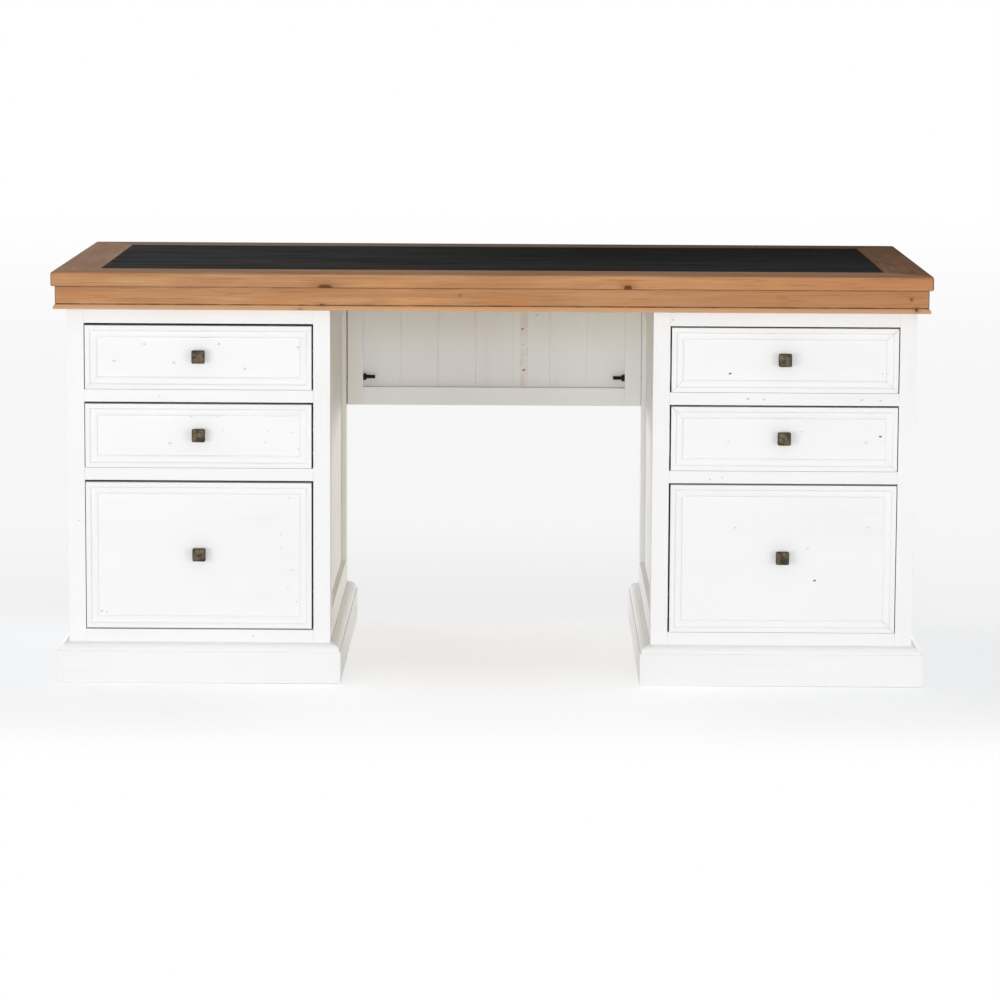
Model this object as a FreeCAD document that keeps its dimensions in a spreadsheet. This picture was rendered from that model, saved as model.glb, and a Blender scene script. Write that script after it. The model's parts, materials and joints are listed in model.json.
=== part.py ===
"""Executive desk: a framed top with a dark inset on two three-drawer pedestals and a modesty panel.

Millimetres. X runs along the desk, Y from the sitter's side (front, -Y) to the back, Z up.
The origin is on the floor under the middle of the top.
"""
import FreeCAD, Part
import math
import os
import re

import Sketcher

SIZES = {
    # Overall
    "desk_width": 1612,
    "desk_depth": 785,
    "desk_height": 762,
    "top_overhang": 26.5,
    # Top: mitred frame round an inset that lies on a core board
    "slab_thickness": 27,
    "slab_frame_width": 83,
    "slab_upper_radius": 6,
    "slab_lower_radius": 3,
    "inset_thickness": 6,
    "inset_recess": 1,
    "inset_joint": 0.8,
    # Apron under the top, with a bead along its lower edge
    "apron_setback": 7.5,
    "apron_height": 33,
    "bead_setback": 4,
    "bead_height": 9,
    "bead_quirk": 1.2,
    # Pedestal face frame
    "pedestal_width": 483,
    "face_thickness": 22,
    "stile_width": 31,
    "rail_height": 23,
    "head_rail_height": 27,
    "small_opening": 122,
    # Plinth
    "plinth_height": 75,
    "plinth_projection": 20,
    "plinth_step": 2.5,
    "plinth_fillet_width": 3.5,
    "plinth_fillet_height": 1,
    # Pedestal side and back frames
    "side_thickness": 20,
    "side_stile_width": 55,
    "side_lower_rail": 125,
    "side_upper_rail": 95,
    "panel_thickness": 8,
    "panel_recess": 9.5,
    "groove_depth": 8,
    "panel_clearance": 0.2,
    "floor_board_thickness": 16,
    # Drawer front and its moulding
    "front_top_gap": 4,
    "front_side_gap": 2.5,
    "front_bottom_gap": 1.5,
    "moulding_width": 22.5,
    "moulding_height": 8,
    "moulding_flat": 8.5,
    "moulding_cove": 3.5,
    "moulding_round": 2,
    # Drawer box
    "box_wall": 12,
    "box_lift": 12,
    "box_headroom": 20,
    "box_back_clearance": 110,
    "box_bottom_thickness": 6,
    "box_bottom_lift": 9,
    "box_groove_depth": 5,
    # Drawer slides and the battens that carry them
    "slide_pack": 12.7,
    "slide_height": 45,
    "slide_sheet": 1.4,
    "slide_flange": 9,
    "slide_running_clearance": 0.3,
    "slide_rise": 35,
    "slide_setback": 4,
    "slide_end_gap": 26,
    "batten_height": 50,
    # Knob
    "knob_width": 24,
    "knob_head_depth": 13,
    "knob_edge_radius": 4.5,
    "knob_stem_diameter": 13,
    "knob_stem_length": 10,
    "knob_rise": 1.5,
    "deep_knob_rise": 3,
    # Modesty panel and its bolts
    "modesty_height": 295,
    "modesty_thickness": 32,
    "modesty_stile_width": 33,
    "modesty_rail_height": 36,
    "modesty_recess": 18,
    "plank_thickness": 10,
    "plank_chamfer": 1.5,
    "tongue_length": 4,
    "tongue_thickness": 3.4,
    "bolt_diameter": 8,
    "bolt_hole_clearance": 0.3,
    "bolt_inset": 9,
    "bolt_rise": 20,
    "bolt_reach": 24,
    "bolt_embedment": 14,
    "nut_width": 13,
    "nut_height": 6.5,
    # One overrun for every cut
    "cut_overrun": 2,
}

PLANK_COUNT = 7
HEX_SIDES = 6
# A hexagon's corner radius over the radius of the circle inside it
HEX_CORNER_SHARE = 1 / math.cos(math.pi / HEX_SIDES)

# Planes that several pieces share, as formulas of the sizes
SLAB_UNDERSIDE = "(desk_height - slab_thickness)"
APRON_UNDERSIDE = f"({SLAB_UNDERSIDE} - apron_height - bead_height)"
FRONT = "(top_overhang - desk_depth / 2)"
BACK = "(desk_depth / 2 - top_overhang)"
OUTSIDE = "(desk_width / 2 - top_overhang)"
INSIDE = f"({OUTSIDE} - pedestal_width)"
PEDESTAL_MIDDLE = f"({OUTSIDE} - pedestal_width / 2)"
PEDESTAL_DEPTH = f"({BACK} - {FRONT})"
BEHIND_FACE = f"({FRONT} + face_thickness)"
OPENING_WIDTH = "(pedestal_width - 2 * stile_width)"
LOWER_SILL = "(plinth_height + rail_height)"
UPPER_HEAD = f"({APRON_UNDERSIDE} - head_rail_height)"
UPPER_SILL = f"({UPPER_HEAD} - small_opening)"
MIDDLE_SILL = f"({UPPER_SILL} - rail_height - small_opening)"
DEEP_OPENING = f"({MIDDLE_SILL} - rail_height - {LOWER_SILL})"
BOX_LENGTH = f"({PEDESTAL_DEPTH} - face_thickness - side_thickness - box_back_clearance)"
MODESTY_FRONT = f"({BACK} - modesty_thickness)"
MODESTY_UNDERSIDE = f"({SLAB_UNDERSIDE} - modesty_height)"
BOLT_HEIGHTS = (
    f"({MODESTY_UNDERSIDE} + modesty_rail_height + bolt_rise)",
    f"({SLAB_UNDERSIDE} - modesty_rail_height - bolt_rise)",
)
# Each tier of drawers: name, sill, opening height and how far above its middle the knob is;
# the lowest takes the height that is left
TIERS = (
    ("upper", UPPER_SILL, "small_opening", "knob_rise"),
    ("middle", MIDDLE_SILL, "small_opening", "knob_rise"),
    ("lower", LOWER_SILL, DEEP_OPENING, "deep_knob_rise"),
)

UPRIGHT = FreeCAD.Rotation()
X_AXIS = FreeCAD.Vector(1, 0, 0)
Y_AXIS = FreeCAD.Vector(0, 1, 0)
Z_AXIS = FreeCAD.Vector(0, 0, 1)
ALONG_X = FreeCAD.Rotation(Y_AXIS, 90)
FACING_FRONT = FreeCAD.Rotation(X_AXIS, 90)

doc = FreeCAD.newDocument("executive_desk")
sheet = doc.addObject("Spreadsheet::Sheet", "Sizes")
for row, (alias, size) in enumerate(SIZES.items(), start=1):
    sheet.set(f"A{row}", alias)
    sheet.set(f"B{row}", str(size))
    sheet.setAlias(f"B{row}", alias)
doc.recompute()

nodes = {}


def in_sheet(formula):
    """Point every size named in a formula at its cell."""
    return re.sub(r"[a-z_]+", r"Sizes.\g<0>", formula)


def bind(item, setting, formula):
    item.setExpression(setting, in_sheet(formula))


def value(formula):
    return float(doc.Sizes.evalExpression(in_sheet(formula)))


def place(item, at, turn=UPRIGHT):
    """Stand an item at a point given by three formulas."""
    item.Placement = FreeCAD.Placement(FreeCAD.Vector(), turn)
    for axis, formula in zip("xyz", at):
        bind(item, f"Placement.Base.{axis}", formula)
    return item


def board(name, x, y, z):
    """A straight board between two planes along each axis."""
    item = doc.addObject("Part::Box", name)
    for setting, (low, high) in zip(("Length", "Width", "Height"), (x, y, z)):
        bind(item, setting, f"{high} - ({low})")
    return place(item, (x[0], y[0], z[0]))


def rod(name, diameter, length, at, turn=UPRIGHT):
    item = doc.addObject("Part::Cylinder", name)
    bind(item, "Radius", f"({diameter}) / 2")
    bind(item, "Height", length)
    return place(item, at, turn)


def cut(name, base, *tools):
    for index, tool in enumerate(tools):
        result = doc.addObject("Part::Cut", f"{name}_cut_{index}")
        result.Base = base
        result.Tool = tool
        base = result
    return base


def fuse(name, *pieces):
    item = doc.addObject("Part::MultiFuse", name)
    item.Shapes = list(pieces)
    return item


def group(name, pieces):
    item = doc.addObject("Part::Compound", name)
    item.Links = list(pieces)
    return item


def mirrored(name, piece):
    """The same piece on the other side of the desk's middle plane."""
    item = doc.addObject("Part::Mirroring", name)
    item.Source = piece
    item.Normal = X_AXIS
    return item


def node(label, *pieces):
    """Name a sub-part: one piece, or several that are counted as one."""
    item = pieces[0] if len(pieces) == 1 else group(f"{label}_group", pieces)
    item.Label = label
    nodes[label] = item
    return item


def sketch_on(body, name, role):
    """A sketch on one of a body's own origin planes."""
    plane = next(item for item in body.Origin.OriginFeatures if item.Role == role)
    sketch = body.newObject("Sketcher::SketchObject", name)
    sketch.AttachmentSupport = [(plane, "")]
    sketch.MapMode = "FlatFace"
    return sketch


def hold_point(sketch, geometry, position, axis, formula):
    """Fix one coordinate of a sketch point to a formula."""
    if formula == "0":
        across = {"X": -2, "Y": -1}[axis]
        sketch.addConstraint(Sketcher.Constraint("PointOnObject", geometry, position, across))
        return
    constraint = Sketcher.Constraint(
        f"Distance{axis}", -1, 1, geometry, position, value(formula)
    )
    index = sketch.addConstraint(constraint)
    bind(sketch, f"Constraints[{index}]", formula)


def outline(sketch, corners):
    """Draw a closed outline through corners given as formulas.

    A corner's third item turns the line to the next corner into a quarter circle, centred
    level with this corner ("beside") or straight above or below it ("over").
    """
    START, END, CENTRE = 1, 2, 3
    points = [FreeCAD.Vector(value(corner[0]), value(corner[1]), 0) for corner in corners]
    ends = []
    for index, corner in enumerate(corners):
        following = (index + 1) % len(corners)
        here = points[index]
        there = points[following]
        if len(corner) == 2:
            geometry = sketch.addGeometry(Part.LineSegment(here, there))
            ends.append((geometry, START, END))
            continue
        over = corner[2] == "over"
        centre = FreeCAD.Vector(here.x, there.y, 0) if over else FreeCAD.Vector(there.x, here.y, 0)
        turns_left = (here - centre).cross(there - centre).z > 0
        first, last = (here, there) if turns_left else (there, here)
        start_angle = math.atan2(first.y - centre.y, first.x - centre.x)
        circle = Part.Circle(centre, Z_AXIS, (first - centre).Length)
        arc = Part.ArcOfCircle(circle, start_angle, start_angle + math.pi / 2)
        geometry = sketch.addGeometry(arc)
        ends.append((geometry, START, END) if turns_left else (geometry, END, START))
        centre_x = corner[0] if over else corners[following][0]
        hold_point(sketch, geometry, CENTRE, "X", centre_x)
    for index, corner in enumerate(corners):
        geometry, start, end = ends[index]
        next_geometry, next_start, _ = ends[(index + 1) % len(corners)]
        sketch.addConstraint(
            Sketcher.Constraint("Coincident", geometry, end, next_geometry, next_start)
        )
        hold_point(sketch, geometry, start, "X", corner[0])
        hold_point(sketch, geometry, start, "Y", corner[1])


def pad(body, sketch, length, symmetric=False):
    item = body.newObject("PartDesign::Pad", f"{sketch.Name}_pad")
    item.Profile = sketch
    bind(item, "Length", length)
    if symmetric:
        item.SideType = "Symmetric"
    return item


def extruded(name, corners, length):
    """A length of one section, drawn flat and padded upwards."""
    body = doc.addObject("PartDesign::Body", name)
    section = sketch_on(body, f"{name}_section", "XY_Plane")
    outline(section, corners)
    pad(body, section, length)
    return body


def mitred_strip(name, section, run, reach):
    """One side of a mitred frame, lying along X with its outer edge on the X axis.

    The section's first coordinate runs inwards from the outer edge, its second upwards.
    """
    body = doc.addObject("PartDesign::Body", name)
    profile = sketch_on(body, f"{name}_section", "YZ_Plane")
    outline(profile, section)
    pad(body, profile, run, symmetric=True)
    mitres = sketch_on(body, f"{name}_mitres", "XY_Plane")
    for side in ("", "-"):
        past_end = f"{side}(({run}) / 2 + cut_overrun)"
        heel = f"{side}(({run}) / 2 - ({reach}) - cut_overrun)"
        past_inside = f"({reach}) + cut_overrun"
        outline(mitres, [(past_end, "-cut_overrun"), (past_end, past_inside), (heel, past_inside)])
    saw = body.newObject("PartDesign::Pocket", f"{name}_saw")
    saw.Profile = mitres
    saw.Type = "ThroughAll"
    saw.SideType = "Symmetric"
    return body


def mitred_frame(name, section, reach, runs, middle, tilt=UPRIGHT):
    """Four mitred strips round a rectangle: near, right, far and left.

    Flat on the floor the near side is towards -Y; tilted to face the front it is the lower one.
    """
    across, along = runs
    steps = (
        ("near", 0, "0", f"-({along}) / 2"),
        ("right", 90, f"({across}) / 2", "0"),
        ("far", 180, "0", f"({along}) / 2"),
        ("left", 270, f"-({across}) / 2", "0"),
    )
    strips = []
    for side, angle, shift_across, shift_along in steps:
        run = along if angle % 180 else across
        strip = mitred_strip(f"{name}_{side}", section, run, reach)
        x, y, z = middle
        x = f"{x} + {shift_across}"
        if tilt == UPRIGHT:
            y = f"{y} + {shift_along}"
        else:
            z = f"{z} + {shift_along}"
        strips.append(place(strip, (x, y, z), tilt * FreeCAD.Rotation(Z_AXIS, angle)))
    return strips


def panel_frame(name, width, height, thickness, stile, rails, groove, holes=()):
    """Two stiles and two rails, grooved for a panel, with stub tenons in the stile grooves.

    It stands on the X axis with its face at Y = 0. rails gives the lower and the upper rail's
    height, groove the depth of its near wall behind the face and its width. holes are tools
    that are cut out of both stiles.
    """
    near, broad = groove
    lower, upper = rails
    groove_y = (near, f"{near} + {broad}")
    through = ("-cut_overrun", f"{height} + cut_overrun")
    pieces = []
    for side, low, high, open_edge in (
        ("first", "0", stile, f"{stile}"),
        ("second", f"{width} - {stile}", width, f"{width} - {stile}"),
    ):
        whole = board(f"{name}_{side}_stile", (low, high), ("0", thickness), ("0", height))
        slot_x = (f"{open_edge} - groove_depth", f"{open_edge} + groove_depth")
        slot = board(f"{name}_{side}_slot", slot_x, groove_y, through)
        pieces.append(cut(f"{name}_{side}_stile", whole, slot, *holes))
    between = (stile, f"{width} - {stile}")
    tenons = (f"{stile} - groove_depth", f"{width} - {stile} + groove_depth")
    for side, low, high, open_edge in (
        ("lower", "0", lower, lower),
        ("upper", f"{height} - {upper}", height, f"{height} - {upper}"),
    ):
        plain = board(f"{name}_{side}_plain", between, ("0", thickness), (low, high))
        tongue = board(f"{name}_{side}_tenons", tenons, groove_y, (low, high))
        rail = fuse(f"{name}_{side}_rail", plain, tongue)
        slot_z = (f"{open_edge} - groove_depth", f"{open_edge} + groove_depth")
        past_tenons = (f"{tenons[0]} - cut_overrun", f"{tenons[1]} + cut_overrun")
        slot = board(f"{name}_{side}_slot", past_tenons, groove_y, slot_z)
        pieces.append(cut(f"{name}_{side}_rail", rail, slot))
    return pieces


def build_top():
    rail_section = [
        ("slab_lower_radius", "0"),
        ("slab_frame_width", "0"),
        ("slab_frame_width", "slab_thickness"),
        ("slab_upper_radius", "slab_thickness", "over"),
        ("0", "slab_thickness - slab_upper_radius"),
        ("0", "slab_lower_radius", "beside"),
    ]
    rails = mitred_frame(
        "top", rail_section, "slab_frame_width", ("desk_width", "desk_depth"),
        ("0", "0", SLAB_UNDERSIDE),
    )
    for label, rail in zip(("top_front_rail", "top_right_end", "top_back_rail", "top_left_end"), rails):
        node(label, rail)
    half_width = "(desk_width / 2 - slab_frame_width)"
    half_depth = "(desk_depth / 2 - slab_frame_width)"
    core_top = "(desk_height - inset_recess - inset_thickness)"
    node("top_core", board(
        "core", (f"-{half_width}", half_width), (f"-{half_depth}", half_depth),
        (SLAB_UNDERSIDE, core_top),
    ))
    node("top_inset", board(
        "inset",
        (f"inset_joint - {half_width}", f"{half_width} - inset_joint"),
        (f"inset_joint - {half_depth}", f"{half_depth} - inset_joint"),
        (core_top, "desk_height - inset_recess"),
    ))


def build_apron():
    height = "(apron_height + bead_height)"
    section = [
        ("top_overhang", "0"),
        ("top_overhang", height),
        ("apron_setback", height),
        ("apron_setback", "bead_height + bead_quirk"),
        ("apron_setback + bead_quirk", "bead_height"),
        ("apron_setback", "bead_height", "over"),
        ("bead_setback", "bead_height - (apron_setback - bead_setback)"),
        ("bead_setback", "0"),
    ]
    strips = mitred_frame(
        "apron", section, "top_overhang", ("desk_width", "desk_depth"),
        ("0", "0", APRON_UNDERSIDE),
    )
    for label, strip in zip(("apron_front", "apron_right", "apron_back", "apron_left"), strips):
        node(label, strip)


def build_face_frame():
    depth = (FRONT, BEHIND_FACE)
    opening = (f"{INSIDE} + stile_width", f"{OUTSIDE} - stile_width")
    pieces = [
        board("inner_stile", (INSIDE, opening[0]), depth, ("0", SLAB_UNDERSIDE)),
        board("outer_stile", (opening[1], OUTSIDE), depth, ("0", SLAB_UNDERSIDE)),
        board("foot_rail", opening, depth, ("0", LOWER_SILL)),
        board("lower_rail", opening, depth, (f"{MIDDLE_SILL} - rail_height", MIDDLE_SILL)),
        board("middle_rail", opening, depth, (f"{UPPER_SILL} - rail_height", UPPER_SILL)),
        board("head_rail", opening, depth, (UPPER_HEAD, SLAB_UNDERSIDE)),
    ]
    node("right_face_frame", *pieces)


def build_plinth():
    radius = "(plinth_projection - plinth_fillet_width - plinth_step)"
    shoulder = "(plinth_height - plinth_fillet_height)"
    section = [
        ("0", "0"),
        ("plinth_projection", "0"),
        ("plinth_projection", "plinth_height"),
        ("plinth_projection - plinth_fillet_width", "plinth_height"),
        ("plinth_projection - plinth_fillet_width", shoulder, "over"),
        ("plinth_step", f"{shoulder} - {radius}"),
        ("0", f"{shoulder} - {radius}"),
    ]
    runs = ("pedestal_width + 2 * plinth_projection", f"{PEDESTAL_DEPTH} + 2 * plinth_projection")
    strips = mitred_frame("plinth", section, "plinth_projection", runs, (PEDESTAL_MIDDLE, "0", "0"))
    node("right_plinth", *strips)


def build_pedestal_walls():
    rails = ("side_lower_rail", "side_upper_rail")
    groove = ("panel_recess", "panel_thickness")
    panel_y = ("panel_recess + panel_clearance / 2", "panel_recess + panel_thickness - panel_clearance / 2")
    reach = "(groove_depth - panel_clearance)"
    panel_z = (f"side_lower_rail - {reach}", f"{SLAB_UNDERSIDE} - side_upper_rail + {reach}")

    def wall(name, width, at, turn, holes=()):
        """A frame and its panel, faces outwards, standing on the floor."""
        frame = group(f"{name}_frame", panel_frame(
            name, width, SLAB_UNDERSIDE, "side_thickness", "side_stile_width", rails, groove, holes,
        ))
        panel_x = (f"side_stile_width - {reach}", f"{width} - side_stile_width + {reach}")
        panel = group(f"{name}_field", [board(f"{name}_panel", panel_x, panel_y, panel_z)])
        return place(frame, at, turn), place(panel, at, turn)

    depth = f"({PEDESTAL_DEPTH} - face_thickness)"
    outer_frame, outer_panel = wall(
        "outer_side", depth, (OUTSIDE, BEHIND_FACE, "0"), FreeCAD.Rotation(Z_AXIS, 90)
    )
    hole_across = "(modesty_thickness - bolt_inset)"
    holes = [
        rod(
            f"side_bolt_hole_{index}", "bolt_diameter + 2 * bolt_hole_clearance",
            "side_thickness + 2 * cut_overrun", (hole_across, "-cut_overrun", height),
            FreeCAD.Rotation(X_AXIS, -90),
        )
        for index, height in enumerate(BOLT_HEIGHTS)
    ]
    inner_frame, inner_panel = wall(
        "inner_side", depth, (INSIDE, BACK, "0"), FreeCAD.Rotation(Z_AXIS, -90), holes
    )
    node("right_outer_side_frame", outer_frame)
    node("right_inner_side_frame", inner_frame)
    node("right_side_panels", outer_panel, inner_panel)
    between_sides = "(pedestal_width - 2 * side_thickness)"
    back_frame, back_panel = wall(
        "back", between_sides, (f"{OUTSIDE} - side_thickness", BACK, "0"), FreeCAD.Rotation(Z_AXIS, 180)
    )
    node("right_back", back_frame, back_panel)
    node("right_floor_board", board(
        "floor_board",
        (f"{INSIDE} + side_thickness", f"{OUTSIDE} - side_thickness"),
        (BEHIND_FACE, f"{BACK} - side_thickness"),
        (f"{LOWER_SILL} - floor_board_thickness", LOWER_SILL),
    ))


def slide_channel(name, height, at, opens_outwards):
    """A channel of folded sheet, lying along Y with its web on the plane of at."""
    section = [
        ("0", "0"),
        ("slide_flange", "0"),
        ("slide_flange", "slide_sheet"),
        ("slide_sheet", "slide_sheet"),
        ("slide_sheet", f"{height} - slide_sheet"),
        ("slide_flange", f"{height} - slide_sheet"),
        ("slide_flange", height),
        ("0", height),
    ]
    channel = extruded(name, section, f"{BOX_LENGTH} - slide_setback - slide_end_gap")
    turn = FreeCAD.Rotation(X_AXIS, -90)
    x, y, middle_height = at
    z = f"{middle_height} + {height} / 2"
    if not opens_outwards:
        turn = FreeCAD.Rotation(Y_AXIS, 180) * turn
        z = f"{middle_height} - {height} / 2"
    return place(channel, (x, y, z), turn)


def build_slides():
    """Battens and slide channels of one pedestal's three drawers."""
    battens = []
    fixed = []
    inner_edge = f"({PEDESTAL_MIDDLE} - {OPENING_WIDTH} / 2)"
    outer_edge = f"({PEDESTAL_MIDDLE} + {OPENING_WIDTH} / 2)"
    start = f"{BEHIND_FACE} + slide_setback"
    moving_height = "(slide_height - 2 * slide_sheet - 2 * slide_running_clearance)"
    for tier, sill, *_ in TIERS:
        height = f"({sill} + box_lift + slide_rise)"
        batten_z = (f"{height} - batten_height / 2", f"{height} + batten_height / 2")
        batten_y = (BEHIND_FACE, f"{BACK} - side_thickness")
        inner_x = (f"{INSIDE} + side_thickness", inner_edge)
        outer_x = (outer_edge, f"{OUTSIDE} - side_thickness")
        battens.append(board(f"{tier}_inner_batten", inner_x, batten_y, batten_z))
        battens.append(board(f"{tier}_outer_batten", outer_x, batten_y, batten_z))
        fixed.append(slide_channel(
            f"{tier}_inner_fixed", "slide_height", (inner_edge, start, height), True
        ))
        fixed.append(slide_channel(
            f"{tier}_outer_fixed", "slide_height", (outer_edge, start, height), False
        ))
        moving = [
            slide_channel(
                f"{tier}_inner_moving", moving_height,
                (f"{inner_edge} + slide_pack", start, height), False,
            ),
            slide_channel(
                f"{tier}_outer_moving", moving_height,
                (f"{outer_edge} - slide_pack", start, height), True,
            ),
        ]
        node(f"right_{tier}_drawer_slides", *moving)
    for label, pieces in (("slide_battens", battens), ("slide_channels", fixed)):
        one_side = group(f"right_{label}", pieces)
        node(label, one_side, mirrored(f"left_{label}", one_side))


def build_knob(name, at):
    body = doc.addObject("PartDesign::Body", name)
    stem = sketch_on(body, f"{name}_stem", "XY_Plane")
    stem.addGeometry(Part.Circle(FreeCAD.Vector(), Z_AXIS, value("knob_stem_diameter / 2")))
    stem.addConstraint(Sketcher.Constraint("Coincident", 0, 3, -1, 1))
    index = stem.addConstraint(Sketcher.Constraint("Radius", 0, value("knob_stem_diameter / 2")))
    bind(stem, f"Constraints[{index}]", "knob_stem_diameter / 2")
    pad(body, stem, "knob_stem_length")
    head = sketch_on(body, f"{name}_head", "XY_Plane")
    head.AttachmentOffset = FreeCAD.Placement(FreeCAD.Vector(0, 0, value("knob_stem_length")), UPRIGHT)
    bind(head, "AttachmentOffset.Base.z", "knob_stem_length")
    edge = "(knob_width / 2)"
    outline(head, [(edge, f"-{edge}"), (edge, edge), (f"-{edge}", edge), (f"-{edge}", f"-{edge}")])
    block = pad(body, head, "knob_head_depth")
    doc.recompute()
    tip = value("knob_stem_length + knob_head_depth")
    face_edges = [
        f"Edge{index}" for index, item in enumerate(block.Shape.Edges, start=1)
        if all(math.isclose(vertex.Z, tip) for vertex in item.Vertexes)
    ]
    pillow = body.newObject("PartDesign::Fillet", f"{name}_pillow")
    pillow.Base = (block, face_edges)
    bind(pillow, "Radius", "knob_edge_radius")
    return place(body, at, FACING_FRONT)


def build_drawer(tier, sill, opening, knob_rise):
    prefix = f"right_{tier}_drawer"
    half_front = f"({OPENING_WIDTH} / 2 - front_side_gap)"
    front_x = (f"{PEDESTAL_MIDDLE} - {half_front}", f"{PEDESTAL_MIDDLE} + {half_front}")
    front_z = (f"{sill} + front_bottom_gap", f"{sill} + {opening} - front_top_gap")
    face = f"({FRONT} + moulding_height)"
    middle = (PEDESTAL_MIDDLE, face, f"({front_z[0]} + {front_z[1]}) / 2")
    node(f"{prefix}_front", board(f"{tier}_front", front_x, (face, BEHIND_FACE), front_z))

    ledge = "(moulding_height - moulding_cove)"
    section = [
        ("0", "0"),
        ("moulding_width", "0"),
        ("moulding_width", f"{ledge} - moulding_round", "beside"),
        ("moulding_width - moulding_round", ledge),
        ("moulding_flat + moulding_cove", ledge, "over"),
        ("moulding_flat", "moulding_height"),
        ("0", "moulding_height"),
    ]
    runs = (f"2 * {half_front}", f"{opening} - front_top_gap - front_bottom_gap")
    strips = mitred_frame(
        f"{tier}_moulding", section, "moulding_width", runs, middle, FACING_FRONT
    )
    node(f"{prefix}_moulding", *strips)
    knob_at = (*middle[:2], f"{middle[2]} + {knob_rise}")
    node(f"{prefix}_knob", build_knob(f"{tier}_knob", knob_at))

    half_box = f"({OPENING_WIDTH} / 2 - slide_pack)"
    box_x = (f"{PEDESTAL_MIDDLE} - {half_box}", f"{PEDESTAL_MIDDLE} + {half_box}")
    box_y = (BEHIND_FACE, f"{BEHIND_FACE} + {BOX_LENGTH}")
    box_z = (f"{sill} + box_lift", f"{sill} + {opening} - box_headroom")
    inside_x = (f"{box_x[0]} + box_wall", f"{box_x[1]} - box_wall")
    bottom_z = (f"{box_z[0]} + box_bottom_lift", f"{box_z[0]} + box_bottom_lift + box_bottom_thickness")
    groove_z = (f"{bottom_z[0]} - panel_clearance / 2", f"{bottom_z[1]} + panel_clearance / 2")
    slot = board(
        f"{tier}_box_slot",
        (f"{inside_x[0]} - box_groove_depth", f"{inside_x[1]} + box_groove_depth"),
        (f"{box_y[0]} + box_wall - box_groove_depth", f"{box_y[1]} + cut_overrun"),
        groove_z,
    )
    left_wall = board(f"{tier}_box_left", (box_x[0], inside_x[0]), box_y, box_z)
    right_wall = board(f"{tier}_box_right", (inside_x[1], box_x[1]), box_y, box_z)
    inner_front = board(f"{tier}_box_front", inside_x, (box_y[0], f"{box_y[0]} + box_wall"), box_z)
    back_y = (f"{box_y[1]} - box_wall", box_y[1])
    back = board(f"{tier}_box_back", inside_x, back_y, (groove_z[1], box_z[1]))
    tuck = "(box_groove_depth - panel_clearance)"
    bottom = board(
        f"{tier}_box_bottom",
        (f"{inside_x[0]} - {tuck}", f"{inside_x[1]} + {tuck}"),
        (f"{box_y[0]} + box_wall - {tuck}", box_y[1]),
        bottom_z,
    )
    node(
        f"{prefix}_box",
        cut(f"{tier}_box_left", left_wall, slot),
        cut(f"{tier}_box_right", right_wall, slot),
        cut(f"{tier}_box_front", inner_front, slot),
        back,
        bottom,
    )


def build_modesty_panel():
    width = f"(2 * {INSIDE})"
    rails = ("modesty_rail_height", "modesty_rail_height")
    groove = ("modesty_recess", "(plank_thickness + panel_clearance)")
    at = (f"-{INSIDE}", MODESTY_FRONT, MODESTY_UNDERSIDE)
    holes = [
        rod(
            f"modesty_bolt_hole_{index}", "bolt_diameter + 2 * bolt_hole_clearance",
            f"{width} + 2 * cut_overrun",
            ("-cut_overrun", "bolt_inset", f"{height} - {MODESTY_UNDERSIDE}"), ALONG_X,
        )
        for index, height in enumerate(BOLT_HEIGHTS)
    ]
    frame = group("modesty_parts", panel_frame(
        "modesty", width, "modesty_height", "modesty_thickness", "modesty_stile_width", rails, groove, holes,
    ))
    node("modesty_frame", place(frame, at))

    tuck = "(groove_depth - panel_clearance)"
    pitch = f"(({width} - 2 * modesty_stile_width) / {PLANK_COUNT})"
    near = "((plank_thickness - tongue_thickness) / 2)"
    far = "((plank_thickness + tongue_thickness) / 2)"
    grooved_edge = [
        ("0", "plank_thickness"),
        ("0", f"{far} + panel_clearance"),
        ("tongue_length + panel_clearance", f"{far} + panel_clearance"),
        ("tongue_length + panel_clearance", f"{near} - panel_clearance"),
        ("0", f"{near} - panel_clearance"),
        ("0", "plank_chamfer"),
        ("plank_chamfer", "0"),
    ]
    tongued_edge = [
        (f"{pitch} - plank_chamfer", "0"),
        (pitch, "plank_chamfer"),
        (pitch, near),
        (f"{pitch} + tongue_length", near),
        (f"{pitch} + tongue_length", far),
        (pitch, far),
        (pitch, "plank_thickness"),
    ]
    first_edge = [(f"-{tuck}", "plank_thickness"), (f"-{tuck}", "0")]
    last_edge = [(f"{pitch} + {tuck}", "0"), (f"{pitch} + {tuck}", "plank_thickness")]
    length = f"modesty_height - 2 * modesty_rail_height + 2 * {tuck}"
    planks = []
    for index in range(PLANK_COUNT):
        left_edge = first_edge if index == 0 else grooved_edge
        right_edge = last_edge if index == PLANK_COUNT - 1 else tongued_edge
        plank = extruded(f"plank_{index}", left_edge + right_edge, length)
        planks.append(place(plank, (
            f"modesty_stile_width - {INSIDE} + {index} * {pitch}",
            f"{MODESTY_FRONT} + modesty_recess + panel_clearance / 2",
            f"{MODESTY_UNDERSIDE} + modesty_rail_height - {tuck}",
        )))
    node("modesty_planks", *planks)


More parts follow.
